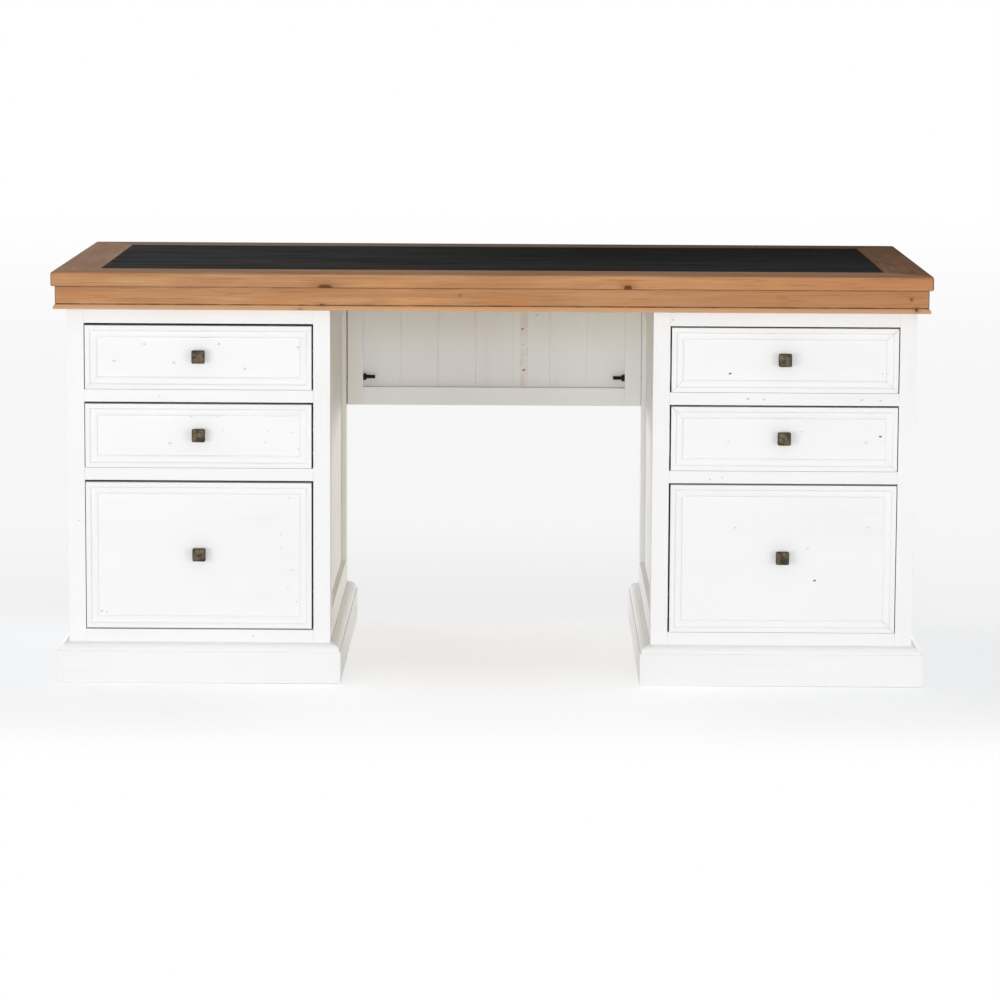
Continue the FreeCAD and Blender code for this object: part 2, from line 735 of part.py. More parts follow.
def build_bolts():
    """Studs that draw the modesty panel's stiles against the pedestals, with their nuts."""
    seat = f"({INSIDE} - modesty_stile_width)"
    depth = f"({MODESTY_FRONT} + bolt_inset)"
    pieces = []
    for index, height in enumerate(BOLT_HEIGHTS):
        pieces.append(rod(
            f"stud_{index}", "bolt_diameter", "bolt_reach + modesty_stile_width + bolt_embedment",
            (f"{seat} - bolt_reach", depth, height), ALONG_X,
        ))
        hexagon = doc.addObject("Part::Prism", f"nut_{index}_hexagon")
        hexagon.Polygon = HEX_SIDES
        bind(hexagon, "Circumradius", f"nut_width / 2 * {HEX_CORNER_SHARE}")
        bind(hexagon, "Height", "nut_height")
        place(hexagon, (f"{seat} - nut_height", depth, height), ALONG_X)
        bore = rod(
            f"nut_{index}_bore", "bolt_diameter + 2 * bolt_hole_clearance",
            "nut_height + 2 * cut_overrun",
            (f"{seat} - nut_height - cut_overrun", depth, height), ALONG_X,
        )
        pieces.append(cut(f"nut_{index}", hexagon, bore))
    one_side = group("right_bolts", pieces)
    node("modesty_bolts", one_side, mirrored("left_bolts", one_side))


def mirror_pedestal():
    """The left pedestal and its drawers are the right one's mirror image."""
    for label in [label for label in nodes if label.startswith("right_")]:
        twin = label.replace("right_", "left_", 1)
        node(twin, mirrored(twin, nodes[label]))


def check():
    doc.recompute()
    for item in doc.Objects:
        if "Invalid" in item.State or "Error" in item.State:
            raise RuntimeError(f"{item.Name} failed: {item.State}")
    for label, item in nodes.items():
        if item.Shape.isNull() or not item.Shape.isValid() or not item.Shape.Solids:
            raise RuntimeError(f"{label} has no sound shape")


def write():
    os.makedirs("parts", exist_ok=True)
    for label, item in nodes.items():
        item.Shape.exportStep(f"parts/{label}.step")


build_top()
build_apron()
build_face_frame()
build_plinth()
build_pedestal_walls()
build_slides()
for tier in TIERS:
    build_drawer(*tier)
build_modesty_panel()
build_bolts()
mirror_pedestal()
check()
write()
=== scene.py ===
"""Executive desk: mouldings, fittings, finishes, floor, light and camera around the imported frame.

Metres, in the frame's axes: X along the desk, Y from the sitter's side to the back, Z up.
"""

import json
import math

import bmesh
import bpy
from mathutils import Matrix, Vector

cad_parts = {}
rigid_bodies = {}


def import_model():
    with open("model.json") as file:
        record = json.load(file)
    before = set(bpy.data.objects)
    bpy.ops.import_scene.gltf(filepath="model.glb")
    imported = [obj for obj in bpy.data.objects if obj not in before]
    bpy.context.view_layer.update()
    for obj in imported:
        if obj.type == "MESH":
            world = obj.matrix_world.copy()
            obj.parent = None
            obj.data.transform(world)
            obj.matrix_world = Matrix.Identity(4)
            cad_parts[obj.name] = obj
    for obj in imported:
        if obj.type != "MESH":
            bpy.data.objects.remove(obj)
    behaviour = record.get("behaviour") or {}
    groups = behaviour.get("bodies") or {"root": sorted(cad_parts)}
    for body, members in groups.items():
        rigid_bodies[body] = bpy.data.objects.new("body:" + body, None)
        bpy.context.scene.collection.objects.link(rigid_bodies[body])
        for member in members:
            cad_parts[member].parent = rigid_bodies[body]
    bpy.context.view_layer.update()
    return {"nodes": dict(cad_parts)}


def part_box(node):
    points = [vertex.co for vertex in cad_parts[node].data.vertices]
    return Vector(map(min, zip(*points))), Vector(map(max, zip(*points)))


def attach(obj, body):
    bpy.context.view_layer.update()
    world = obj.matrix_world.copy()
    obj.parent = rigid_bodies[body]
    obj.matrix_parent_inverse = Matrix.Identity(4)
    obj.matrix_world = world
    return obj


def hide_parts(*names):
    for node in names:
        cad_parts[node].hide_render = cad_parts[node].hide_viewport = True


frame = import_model()
scene = bpy.context.scene

# Pieces of the desk
SIDES = ("left", "right")
TIERS = ("upper", "middle", "lower")
DRAWERS = [f"{side}_{tier}_drawer" for side in SIDES for tier in TIERS]

# Modelling
MM = 0.001
WELD = 1e-6
CORNER_PLACES = 6
SIZE_PLACES = 5
FLAT_ANGLE = math.radians(0.5)
SHARP_ANGLE = math.radians(30)
SMOOTH_ANGLE = math.radians(40)
SQUARE_ON = 0.999
ARC_STEPS = 6
EASE_STEPS = 2
ROUND_SIDES = 40
EASED_EDGE = 0.0006
SHORTEST_EASED = 0.005

# Top frame and apron
# How far below the top the painted shade on the top faces reaches
TOP_SHADE_DEPTH = 0.0035
# How far in from the ends the arrises with painted shade begin
END_DARK_ARRIS = 0.0064
FRONT_DARK_ARRIS = 0.0018
SLAB_UPPER_RADIUS = 0.006
SLAB_LOWER_RADIUS = 0.003
SLAB_CORNER_RADIUS = 0.0045
SLAB_CORNER_STEPS = 3
APRON_FASCIA_SETBACK = 0.0035
BEAD_HEIGHT = 0.009
BEAD_QUIRK = 0.0012
BEAD_FLARE = ((0, 0.0032), (0.0004, 0.0045), (0.0012, 0.0058), (0.0023, 0.0074))

# Plinth
PLINTH_STEP = 0.0025
PLINTH_FOOT = 0.0014
PLINTH_FILLET_WIDTH = 0.0035
PLINTH_FILLET_HEIGHT = 0.001

# Top inset
INSET_EDGE = 0.001

# Drawer moulding
MOULDING_WIDTH = 0.0225
MOULDING_FLAT = 0.0085
MOULDING_COVE = 0.004
MOULDING_ROUND_WIDTH = 0.006
MOULDING_EASE = 0.0003
OPEN_MITRE = 0.0004
OPENED_MITRES = {
    "right_upper_drawer": ("lower_left", "upper_right", "lower_right"),
    "right_middle_drawer": ("upper_left", "lower_right"),
    "right_lower_drawer": ("lower_right",),
    "left_upper_drawer": ("lower_left",),
}
# How each drawer front sits in its opening, in millimetres from the CAD one: to the right, and
# its lower and its upper edge upwards
DRAWER_FIT = {
    "left_upper_drawer": (-0.8, -1.0, -0.5),
    "left_middle_drawer": (-1.0, -1.0, 0.0),
    "left_lower_drawer": (-1.0, 0.9, -0.3),
    "right_upper_drawer": (0.5, -1.0, 1.0),
    "right_middle_drawer": (0.7, -1.0, 0.5),
    "right_lower_drawer": (0.9, -1.0, 0.7),
}

# Knob
KNOB_HEAD_DEPTH = 0.013
KNOB_ROUND = 0.0026
KNOB_ROUND_STEPS = 4
KNOB_CROWN = ((0.0035, 0.0004), (0.0035, 0.00025))
KNOB_SIDE_INSET = 0.0018
KNOB_SIDE_SWELL = 0.0002
KNOB_STEM = [
    (0.0082, 0), (0.0082, 0.0012), (0.0074, 0.002), (0.0056, 0.0045), (0.0053, 0.0065),
]
KNOB_NECK = 0.0066
KNOB_OVERLAP = 0.001

# Modesty panel
LEFT_GAP = 0.0018
RIGHT_GAP = 0.0007
GAP_DEPTH = 0.012
PLANK_EDGE = 0.0008
LONGEST_NUT = 0.02
NUT_CHAMFER = 0.9
NUT_SIDES = 6
THREAD_PITCH = 0.00125
THREAD_DEPTH = 0.0007
THREAD_START = 0.5
# Shares of a pitch at which a ridge begins, is whole, falls off again and ends
THREAD_RIDGE = (0.1, 0.45, 0.55, 0.9)

# Dings in the paint. Their lists give millimetres across and up, and half a length
DING_DEPTH = 0.001
DEEP_DING = 2.15
DING_HEIGHT_SHARE = 0.6
DING_ROUGHNESS = 0.2
DING_SCALE = 1.6 * MM
DEEP_DING_SCALE = 1.3 * MM
DING_TILT = 0.25
DRAWER_DINGS = {
    "left_upper_drawer": (
        (-100, 23, 1.6), (-156, -8, 2.0), (-46, -11, 2.0), (37, 24, 2.1), (85, -21, 2.0),
        (182, 19, 1.7), (188, -17, 1.2),
    ),
    "left_middle_drawer": (
        (-14, 35, 1.6), (34, 35, 1.2), (-54, -15, 1.9), (126, 8, 1.1), (121, -12, 1.2),
        (173, 7, 1.2), (184, -24, 1.7), (44, 10, 1.0),
    ),
    "left_lower_drawer": (
        (-182, -106, 1.8), (-172, -108, 1.4), (150, 40, 1.1), (150, 13, 1.1), (170, -27, 1.3),
        (163, -60, 1.2), (179, -86, 1.4), (165, 108, 1.3),
    ),
    "right_upper_drawer": ((-100, -25, 2.2), (180, -24, 1.2)),
    "right_middle_drawer": ((33, 13, 1.5), (152, -7, 1.6), (178, 5, 2.4), (-102, -7, 1.1)),
    "right_lower_drawer": ((-88, 57, 1.6), (157, 59, 1.6), (47, 19, 1.5), (61, -41, 2.3)),
}
FRAME_DINGS = {
    "left": ((-439, 86, 1.6), (-610, 532, 1.1), (-760, 300, 1.2)),
    "right": (
        (332, 678, 1.8), (471, 533, 1.9), (500, 532, 1.6), (680, 532, 1.9), (714, 531, 1.8),
        (426, 387, 1.6), (403, 384, 1.4),
    ),
}
PLANK_DINGS = (
    (56.7, 593, 2.2), (57.7, 561, 1.5), (57.8, 541, 1.5), (59.8, 510, 2.4), (86, 621, 1.8),
)


# Working the pieces

def pick(piece):
    """Leave one piece selected and active."""
    bpy.ops.object.select_all(action="DESELECT")
    piece.select_set(True)
    bpy.context.view_layer.objects.active = piece
    return piece


def open_mesh(piece):
    pick(piece)
    bpy.ops.object.mode_set(mode="EDIT")


def close_mesh():
    bpy.ops.object.mode_set(mode="OBJECT")


def select(piece, kind, chosen):
    """In edit mode, leave selected only the corners, edges or faces that chosen picks out."""
    bpy.ops.mesh.select_mode(type={"verts": "VERT", "edges": "EDGE", "faces": "FACE"}[kind])
    bpy.ops.mesh.select_all(action="DESELECT")
    mesh = bmesh.from_edit_mesh(piece.data)
    for item in getattr(mesh, kind):
        if chosen(item):
            item.select_set(True)
    mesh.select_flush_mode()
    bmesh.update_edit_mesh(piece.data)


def is_sharp(edge):
    return len(edge.link_faces) == 2 and edge.calc_face_angle() > SHARP_ANGLE


def ease(piece, width, chosen=is_sharp, steps=EASE_STEPS):
    """Round over the chosen edges of a piece."""
    open_mesh(piece)
    select(piece, "edges", chosen)
    bpy.ops.mesh.bevel(offset=width, segments=steps, affect="EDGES", clamp_overlap=True)
    close_mesh()


def smooth(piece):
    """Shade the rounds smoothly and leave the broad faces flat."""
    pick(piece)
    bpy.ops.object.shade_smooth_by_angle(angle=SMOOTH_ANGLE)
    weighting = piece.modifiers.new("flat_faces", "WEIGHTED_NORMAL")
    weighting.keep_sharp = True
    bpy.ops.object.modifier_apply(modifier=weighting.name)


def settle(piece):
    """Put a piece's place, turn and size into its mesh."""
    pick(piece)
    bpy.ops.object.transform_apply(location=True, rotation=True, scale=True)


def arc(centre, radius, start, end, steps=ARC_STEPS):
    """Points of an arc from one angle to another, in degrees."""
    angles = [math.radians(start + (end - start) * step / steps) for step in range(steps + 1)]
    return [(centre[0] + radius * math.cos(a), centre[1] + radius * math.sin(a)) for a in angles]


def moulded_ring(name, low, high, profile):
    """A frame of one section round a rectangle, mitred at its corners.

    low and high are the rectangle's outer corners in X and Y. The section's points give the
    distance inwards from the outer edge, and the height.
    """
    width = high[0] - low[0]
    depth = high[1] - low[1]
    middle = ((low[0] + high[0]) / 2, (low[1] + high[1]) / 2, 0)
    bpy.ops.object.select_all(action="DESELECT")
    bpy.ops.mesh.primitive_plane_add(size=1, location=middle)
    ring = bpy.context.object
    ring.name = name
    ring.scale = (width, depth, 1)
    settle(ring)
    open_mesh(ring)
    bpy.ops.mesh.select_all(action="SELECT")
    bpy.ops.mesh.delete(type="ONLY_FACE")
    bpy.ops.mesh.select_mode(type="EDGE")
    bpy.ops.mesh.select_all(action="SELECT")
    inset, height = 0, 0
    for step, (next_inset, next_height) in enumerate(profile + profile[:1]):
        if step:
            bpy.ops.mesh.extrude_edges_move()
        stretch = (
            (width - 2 * next_inset) / (width - 2 * inset),
            (depth - 2 * next_inset) / (depth - 2 * inset),
            1,
        )
        bpy.ops.transform.resize(value=stretch, center_override=middle)
        bpy.ops.transform.translate(value=(0, 0, next_height - height))
        inset, height = next_inset, next_height
    bpy.ops.mesh.select_all(action="SELECT")
    bpy.ops.mesh.remove_doubles(threshold=WELD)
    bpy.ops.mesh.normals_make_consistent(inside=False)
    close_mesh()
    return ring


def number_runs(ring, low, high):
    """Number a ring's faces by the board they are on: front, right, back and left."""
    board = ring.data.attributes.new("board", "FLOAT", "FACE")
    for face in ring.data.polygons:
        x, y, _ = face.center
        edges = (y - low[1], high[0] - x, high[1] - y, x - low[0])
        number = edges.index(min(edges))
        board.data[face.index].value = number
        face.material_index = number


def number_solids(mesh):
    """Number a CAD mesh's faces by their solid: a solid is whole once its edges all pair up."""
    unpaired = set()
    numbers = []
    solid = 0
    for face in mesh.polygons:
        corners = [mesh.vertices[index].co.to_tuple(CORNER_PLACES) for index in face.vertices]
        for start, end in zip(corners, corners[1:] + corners[:1]):
            if (end, start) in unpaired:
                unpaired.remove((end, start))
            else:
                unpaired.add((start, end))
        numbers.append(solid)
        if not unpaired:
            solid += 1
    return numbers


def longest_axis(mesh, faces):
    """0, 1 or 2 for X, Y or Z: the way that the grain of a board runs."""
    points = [mesh.vertices[index].co for face in faces for index in face.vertices]
    spans = [max(p[axis] for p in points) - min(p[axis] for p in points) for axis in range(3)]
    return spans.index(max(spans))


def eased_boards(name, node, edge=EASED_EDGE, where=lambda item: True):
    """A copy of a CAD node's boards with their edges eased.

    Each board gets a number of its own, and a finish by the axis that its grain runs along.
    """
    piece = bpy.data.objects.new(name, frame["nodes"][node].data.copy())
    scene.collection.objects.link(piece)
    mesh = piece.data
    numbers = number_solids(mesh)
    board = mesh.attributes.new("board", "FLOAT", "FACE")
    board.data.foreach_set("value", [float(number) for number in numbers])
    solids = range(max(numbers) + 1)
    for solid in solids:
        faces = [face for face, number in zip(mesh.polygons, numbers) if number == solid]
        axis = longest_axis(mesh, faces)
        for face in faces:
            face.material_index = axis
    open_mesh(piece)
    bpy.ops.mesh.customdata_custom_splitnormals_clear()
    layer = bmesh.from_edit_mesh(mesh).faces.layers.float["board"]
    for solid in solids:
        select(piece, "faces", lambda face: round(face[layer]) == solid)
        bpy.ops.mesh.remove_doubles(threshold=WELD)
    bpy.ops.mesh.select_all(action="SELECT")
    bpy.ops.mesh.mark_sharp(clear=True)
    bpy.ops.mesh.dissolve_limited(angle_limit=FLAT_ANGLE)
    close_mesh()

    def handled_edge(item):
        return is_sharp(item) and item.calc_length() > SHORTEST_EASED and where(item)

    ease(piece, edge, handled_edge)
    return piece


def turned(name, profile, sides=ROUND_SIDES):
    """A round piece standing on the origin, from points of radius and height."""
    bpy.ops.object.select_all(action="DESELECT")
    radius, height = profile[0]
    bpy.ops.mesh.primitive_circle_add(vertices=sides, radius=radius, fill_type="NGON")
    piece = bpy.context.object
    piece.name = name
    open_mesh(piece)
    bpy.ops.mesh.select_mode(type="FACE")
    bpy.ops.mesh.select_all(action="SELECT")
    for next_radius, next_height in profile[1:]:
        rise = (0, 0, next_height - height)
        bpy.ops.mesh.extrude_region_move(TRANSFORM_OT_translate={"value": rise})
        share = next_radius / radius
        bpy.ops.transform.resize(value=(share, share, 1), center_override=(0, 0, next_height))
        radius, height = next_radius, next_height
    bpy.ops.mesh.select_all(action="SELECT")
    bpy.ops.mesh.normals_make_consistent(inside=False)
    close_mesh()
    return piece


def block(name, low, high):
    """A plain block between two corners, to be worked further."""
    bpy.ops.object.select_all(action="DESELECT")
    bpy.ops.mesh.primitive_cube_add(size=1, location=(Vector(low) + Vector(high)) / 2)
    piece = bpy.context.object
    piece.name = name
    piece.scale = Vector(high) - Vector(low)
    settle(piece)
    return piece


def copied(piece, name, shift, turn=(0, 0, 0)):
    """A copy of a piece with a mesh of its own, turned and moved."""
    pick(piece)
    bpy.ops.object.duplicate()
    twin = bpy.context.object
    twin.name = name
    twin.rotation_euler = turn
    twin.location = shift
    settle(twin)
    return twin


def join(pieces):
    bpy.ops.object.select_all(action="DESELECT")
    for piece in pieces:
        piece.select_set(True)
    bpy.context.view_layer.objects.active = pieces[0]
    bpy.ops.object.join()
    return pieces[0]


def cut(piece, cutters, finishes):
    """Cut a piece with others, board by board.

    A cutter's faces are numbered by the finishes that its cuts show.
    """
    first = len(piece.data.materials)
    for finish in finishes:
        piece.data.materials.append(finish)
    for cutter in cutters:
        for finish in piece.data.materials:
            cutter.data.materials.append(finish)
        for face in cutter.data.polygons:
            face.material_index += first
    tool = join(cutters)
    before = set(scene.objects)
    open_mesh(piece)
    bpy.ops.mesh.select_all(action="SELECT")
    bpy.ops.mesh.separate(type="LOOSE")
    close_mesh()
    boards = [piece] + sorted(set(scene.objects) - before, key=lambda board: board.name)
    for board in boards:
        pick(board)
        saw = board.modifiers.new("cut", "BOOLEAN")
        saw.operation = "DIFFERENCE"
        saw.solver = "EXACT"
        saw.object = tool
        bpy.ops.object.modifier_apply(modifier=saw.name)
    join(boards)
    pick(tool)
    bpy.ops.object.delete()


def dress(piece, body, finishes, nodes, cutters=(), cut_finishes=()):
    """Finish and cut a piece, fix it to the body it moves with, and hide the CAD nodes it stands
    for.
    """
    for number, finish in enumerate(finishes):
        if number < len(piece.data.materials):
            piece.data.materials[number] = finish
        else:
            piece.data.materials.append(finish)
    if cutters:
        cut(piece, cutters, cut_finishes)
    smooth(piece)
    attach(piece, body)
    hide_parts(*nodes)


def ding(place, length, number, deep):
    """A small long pit, for cutting out of a face that looks along Y."""
    tilt = (0, DING_TILT * (number % 3 - 1), 0)
    bpy.ops.object.select_all(action="DESELECT")
    bpy.ops.mesh.primitive_ico_sphere_add(subdivisions=2, radius=1, location=place, rotation=tilt)
    pit = bpy.context.object
    open_mesh(pit)
    bpy.ops.mesh.select_all(action="SELECT")
    bpy.ops.transform.vertex_random(offset=DING_ROUGHNESS, seed=number)
    close_mesh()
    pit.scale = (length, DING_DEPTH, length * DING_HEIGHT_SHARE)
    settle(pit)
    for face in pit.data.polygons:
        face.material_index = int(deep)
    return pit


def dings(marks, middle, face_y):
    """Pits at marks of millimetres across and up from a middle, and half a length."""
    pits = []
    for number, (x, z, length) in enumerate(marks):
        deep = length > DEEP_DING
        size = length * (DEEP_DING_SCALE if deep else DING_SCALE)
        pits.append(ding((middle[0] + x * MM, face_y, middle[1] + z * MM), size, number, deep))
    return pits


# Shaders

class Socket:
    """A shader output that works in Python sums: each operator adds a Math node."""

    def __init__(self, finish, output):
        self.finish = finish
        self.output = output

    def math(self, operation, *values):
        sockets = dict(enumerate(values))
        return self.finish.node("ShaderNodeMath", {"operation": operation}, sockets)

    def __add__(self, other):
        return self.math("ADD", self, other)

    def __sub__(self, other):
        return self.math("SUBTRACT", self, other)

    def __rsub__(self, other):
        return self.math("SUBTRACT", other, self)

    def __mul__(self, other):
        return self.math("MULTIPLY", self, other)

    def __truediv__(self, other):
        return self.math("DIVIDE", self, other)

    def __pow__(self, other):
        return self.math("POWER", self, other)

    def __abs__(self):
        return self.math("ABSOLUTE", self)

    __radd__ = __add__
    __rmul__ = __mul__

    def root(self):
        return self.math("SQRT", self)


class Shader:
    """The shader nodes of a material or a world."""

    def __init__(self, owner):
        owner.use_nodes = True
        self.tree = owner.node_tree

    def node(self, kind, settings=None, sockets=None, output=0):
        """Add a node, set it up, give its sockets values or links, and return one output."""
        item = self.tree.nodes.new(kind)
        for setting, choice in (settings or {}).items():
            setattr(item, setting, choice)
        for socket, value in (sockets or {}).items():
            self.feed(item.inputs[socket], value)
        return Socket(self, item.outputs[output])

    def feed(self, target, value):
        if isinstance(value, Socket):
            self.tree.links.new(value.output, target)
        else:
            target.default_value = value

    def place(self):
        """The piece's own coordinates, which are the frame's."""
        return self.node("ShaderNodeTexCoord", output="Object")

    def apart(self, vector, letters="XYZ"):
        """A vector's coordinates one by one, in the order of letters."""
        return [self.node("ShaderNodeSeparateXYZ", {}, {0: vector}, letter) for letter in letters]

    def grain_space(self, axis):
        """Coordinates turned so that the first runs along the grain, shifted board by board."""
        board = self.node("ShaderNodeAttribute", {"attribute_name": "board"}, output="Fac")
        shifted = self.node(
            "ShaderNodeVectorMath", {"operation": "MULTIPLY_ADD"},
            {0: board, 1: BOARD_SHIFT, 2: self.place()},
        )
        along, across, up = self.apart(shifted, GRAIN_ORDERS[axis])
        return self.node("ShaderNodeCombineXYZ", {}, {0: along, 1: across, 2: up})

    def noise(self, space, scale, detail=2.0, rough=0.5):
        """Soft noise, as many to the metre along each axis as scale says."""
        stretched = self.node("ShaderNodeMapping", {}, {"Vector": space, "Scale": scale})
        return self.node(
            "ShaderNodeTexNoise", {},
            {"Vector": stretched, "Scale": 1, "Detail": detail, "Roughness": rough},
        )

    def rise(self, value, low, high):
        """0 below low, 1 above high, and a smooth step between."""
        return self.node(
            "ShaderNodeMapRange", {"interpolation_type": "SMOOTHSTEP"},
            {"Value": value, "From Min": low, "From Max": high},
        )

    def mix(self, share, first, second, way="MIX"):
        """A colour between two."""
        settings = {"data_type": "RGBA", "blend_type": way}
        return self.node("ShaderNodeMix", settings, {0: share, 6: first, 7: second}, 2)

    def bump(self, height, depth, strength):
        sockets = {"Height": height, "Distance": depth, "Strength": strength}
        return self.node("ShaderNodeBump", {}, sockets)


class Finish(Shader):
    """A material: a surface shader with its constants set and its other sockets fed."""

    def __init__(self, name, **constants):
        self.material = bpy.data.materials.new(name)
        super().__init__(self.material)
        self.shader = self.tree.nodes["Principled BSDF"]
        for socket, value in constants.items():
            self.shader.inputs[socket.replace("_", " ")].default_value = value

    def surface(self, **sockets):
        """Feed the surface shader's own sockets."""
        for socket, value in sockets.items():
            self.feed(self.shader.inputs[socket.replace("_", " ")], value)
        return self.material


def colour(red, green, blue):
    return (red, green, blue, 1)


# Finishes

GRAIN_ORDERS = ("XYZ", "YXZ", "ZXY")
BOARD_SHIFT = (0.37, 0.61, 0.83)
GRAIN_START = (0.3, 0.0, 0.052)

# Paint: colours, then noise as many to the metre along and across the grain, with its detail and
# roughness, then the places where the paint changes, from one coordinate to another
PAINT_CLEAN = colour(0.882, 0.882, 0.88)
PAINT_AGED = colour(0.862, 0.861, 0.855)
PAINT_THIN = colour(0.79, 0.775, 0.74)
PAINT_WORN = colour(0.66, 0.5, 0.41)
# A tint for the painted warm shade in the kneehole
PAINT_WARM_SHADE = colour(0.97, 0.94, 0.865)
PAINT_CHIPPED = (colour(0.74, 0.735, 0.72), colour(0.62, 0.615, 0.6))
PAINT_CLOUDS = ((3, 8, 8),)
PAINT_STROKES = ((8, 260, 260), 3)
PAINT_GRAIN = ((3, 90, 90), 4, 0.6)
PAINT_RAGGED = ((60, 60, 25), 3)
PAINT_FLAKES = ((90, 90, 45), 4, 0.6)
# The kneehole's bounds, and where its painted warm shade is strongest: at the left and under the
# top
KNEEHOLE_HALF = (0.308, 0.312)
KNEEHOLE_FRONT = (-0.362, -0.355)
KNEEHOLE_BACK = (0.354, 0.361)
WARM_SHADE_LEFT = (-0.3, -0.25)
WARM_SHADE_TOP = (0.52, 0.63)
WARM_SHADE_TOP_SHARE = 0.9
WORN_STRIP = (0.0525, 0.0674)
WORN_RAGGEDNESS = 0.006
WORN_EDGE = (-0.001, 0.0015)
PLINTH_SCUFF = (-0.1, 0.087)
SCUFF_LENGTH = 0.13
SCUFF_HEIGHT = 0.011
SCUFF_SHARE = 0.45

# Pine: light and dark tones of a board, other tones, noise and places
PINE = (colour(0.585, 0.332, 0.168), colour(0.45, 0.228, 0.106))
# The end boards' own tones; the left one is also paler and greyer with a painted sheen that the
# darker right one lacks
PINE_LEFT_SHEEN = (colour(0.44, 0.268, 0.17), colour(0.33, 0.185, 0.112))
PINE_RIGHT = (colour(0.235, 0.127, 0.068), colour(0.145, 0.07, 0.033))
PINE_ORANGE = colour(0.72, 0.4, 0.2)
PINE_WARM = colour(0.525, 0.225, 0.094)
PINE_PINK = colour(0.44, 0.215, 0.125)
PINE_STREAK = colour(0.2, 0.085, 0.034)
PINE_FADED = colour(0.45, 0.212, 0.1)
# Painted shade on the top faces, and a greyish painted sheen for the back rail's left
PINE_TOP_SHADE = colour(0.17, 0.097, 0.058)
PINE_GREY_SHEEN = colour(0.26, 0.2, 0.165)
PINE_RUBBED = colour(0.68, 0.42, 0.24)
# A dark brown for painted shade: in the creases, on the back rail's right end and towards the back
# of the right end
PINE_SHADE_BROWN = colour(0.075, 0.027, 0.007)
# For painted shade on the arrises at the desk's ends
PINE_ARRIS_SHADE = colour(0.016, 0.011, 0.008)
PINE_KNOT = colour(0.13, 0.048, 0.021)
PINE_DRIFT = ((4.5, 16, 16),)
PINE_HUES = ((7, 30, 30), 3)
PINE_BANDS = ((3.2, 150, 150), 4, 0.65)
PINE_PATCHES = ((14, 90, 90), 3, 0.6)
PINE_STREAKS = ((9, 330, 330), 4, 0.65)
PINE_FIBRES = ((16, 800, 800), 2)
PINE_SHADE_BREAKUP = ((30, 4, 4), 3)
WARM_RUN = (-0.35, 0.75)
DARK_RUN = (-0.45, 0.38)
# Where the top faces' painted shade changes from left to right
TOP_SHADE_RUN = (-0.85, 0.75)
SITTER_SIDE = (-0.35, -0.3)
TONE_EDGE = 0.0015
ARRIS_FADE = (0.0012, 0.001)
# Knots by X, Z, half their length and height, and strength. The slab's heights are from its base
SLAB_KNOTS = ((-0.304, 0.001, 0.0155, 0.006, 1.0), (0.248, 0.0025, 0.009, 0.0065, 1.0))
APRON_KNOTS = (
    (-0.058, 0.722, 0.002, 0.0018, 0.6), (0.766, 0.719, 0.0026, 0.0026, 0.9),
    (0.775, 0.7, 0.003, 0.0035, 1.0), (-0.31, 0.7035, 0.006, 0.0018, 0.8),
    (-0.35, 0.6955, 0.005, 0.0014, 0.6), (0.529, 0.7205, 0.012, 0.004, 0.14),
)
# Half-widths of the painted shade lines under the slab and in the bead's quirk
SLAB_SHADE_LINE = 0.0022
BEAD_SHADE_LINE = 0.0018

# Hide, metals and sanded wood
HIDE_WARM = colour(0.066, 0.06, 0.057)
HIDE_COOL = colour(0.05, 0.055, 0.059)
HIDE_DEEP = colour(0.009, 0.0088, 0.0085)
HIDE_SCUFFED = colour(0.05, 0.048, 0.047)
HIDE_STREAKS = ((3, 20, 20), 4, 0.6)
HIDE_TINTS = ((5, 11, 11), 2)
HIDE_SCUFFS = ((12, 40, 40), 3)
HIDE_PEBBLES = 700.0
# Where the hide's painted sheen fades, from left to right and from front to back
SHEEN_FADE_RUN = (-0.8, 0.3)
SHEEN_FADE_BACK = (-0.3, 0.2)
BRONZE_DARK = colour(0.034, 0.027, 0.02)
BRONZE_RUBBED = colour(0.118, 0.094, 0.066)
BRONZE_PATCHES = ((130, 130, 130), 4, 0.6)
BRONZE_HAMMERED = ((320, 320, 320), 1)
BLACK_STEEL = (colour(0.012, 0.012, 0.012), colour(0.03, 0.03, 0.03))
ZINC = (colour(0.5, 0.5, 0.5), colour(0.66, 0.66, 0.65))
METAL_PATCHES = ((60, 60, 60), 4, 0.6)
DRAWER_WOOD = (colour(0.68, 0.5, 0.32), colour(0.53, 0.36, 0.205))
BARE_WOOD = (colour(0.3, 0.265, 0.225), colour(0.16, 0.14, 0.115))
WOOD_RINGS = ((1.2, 45, 45), 4, 0.6)
WOOD_FIBRES = ((5, 500, 500), 2)


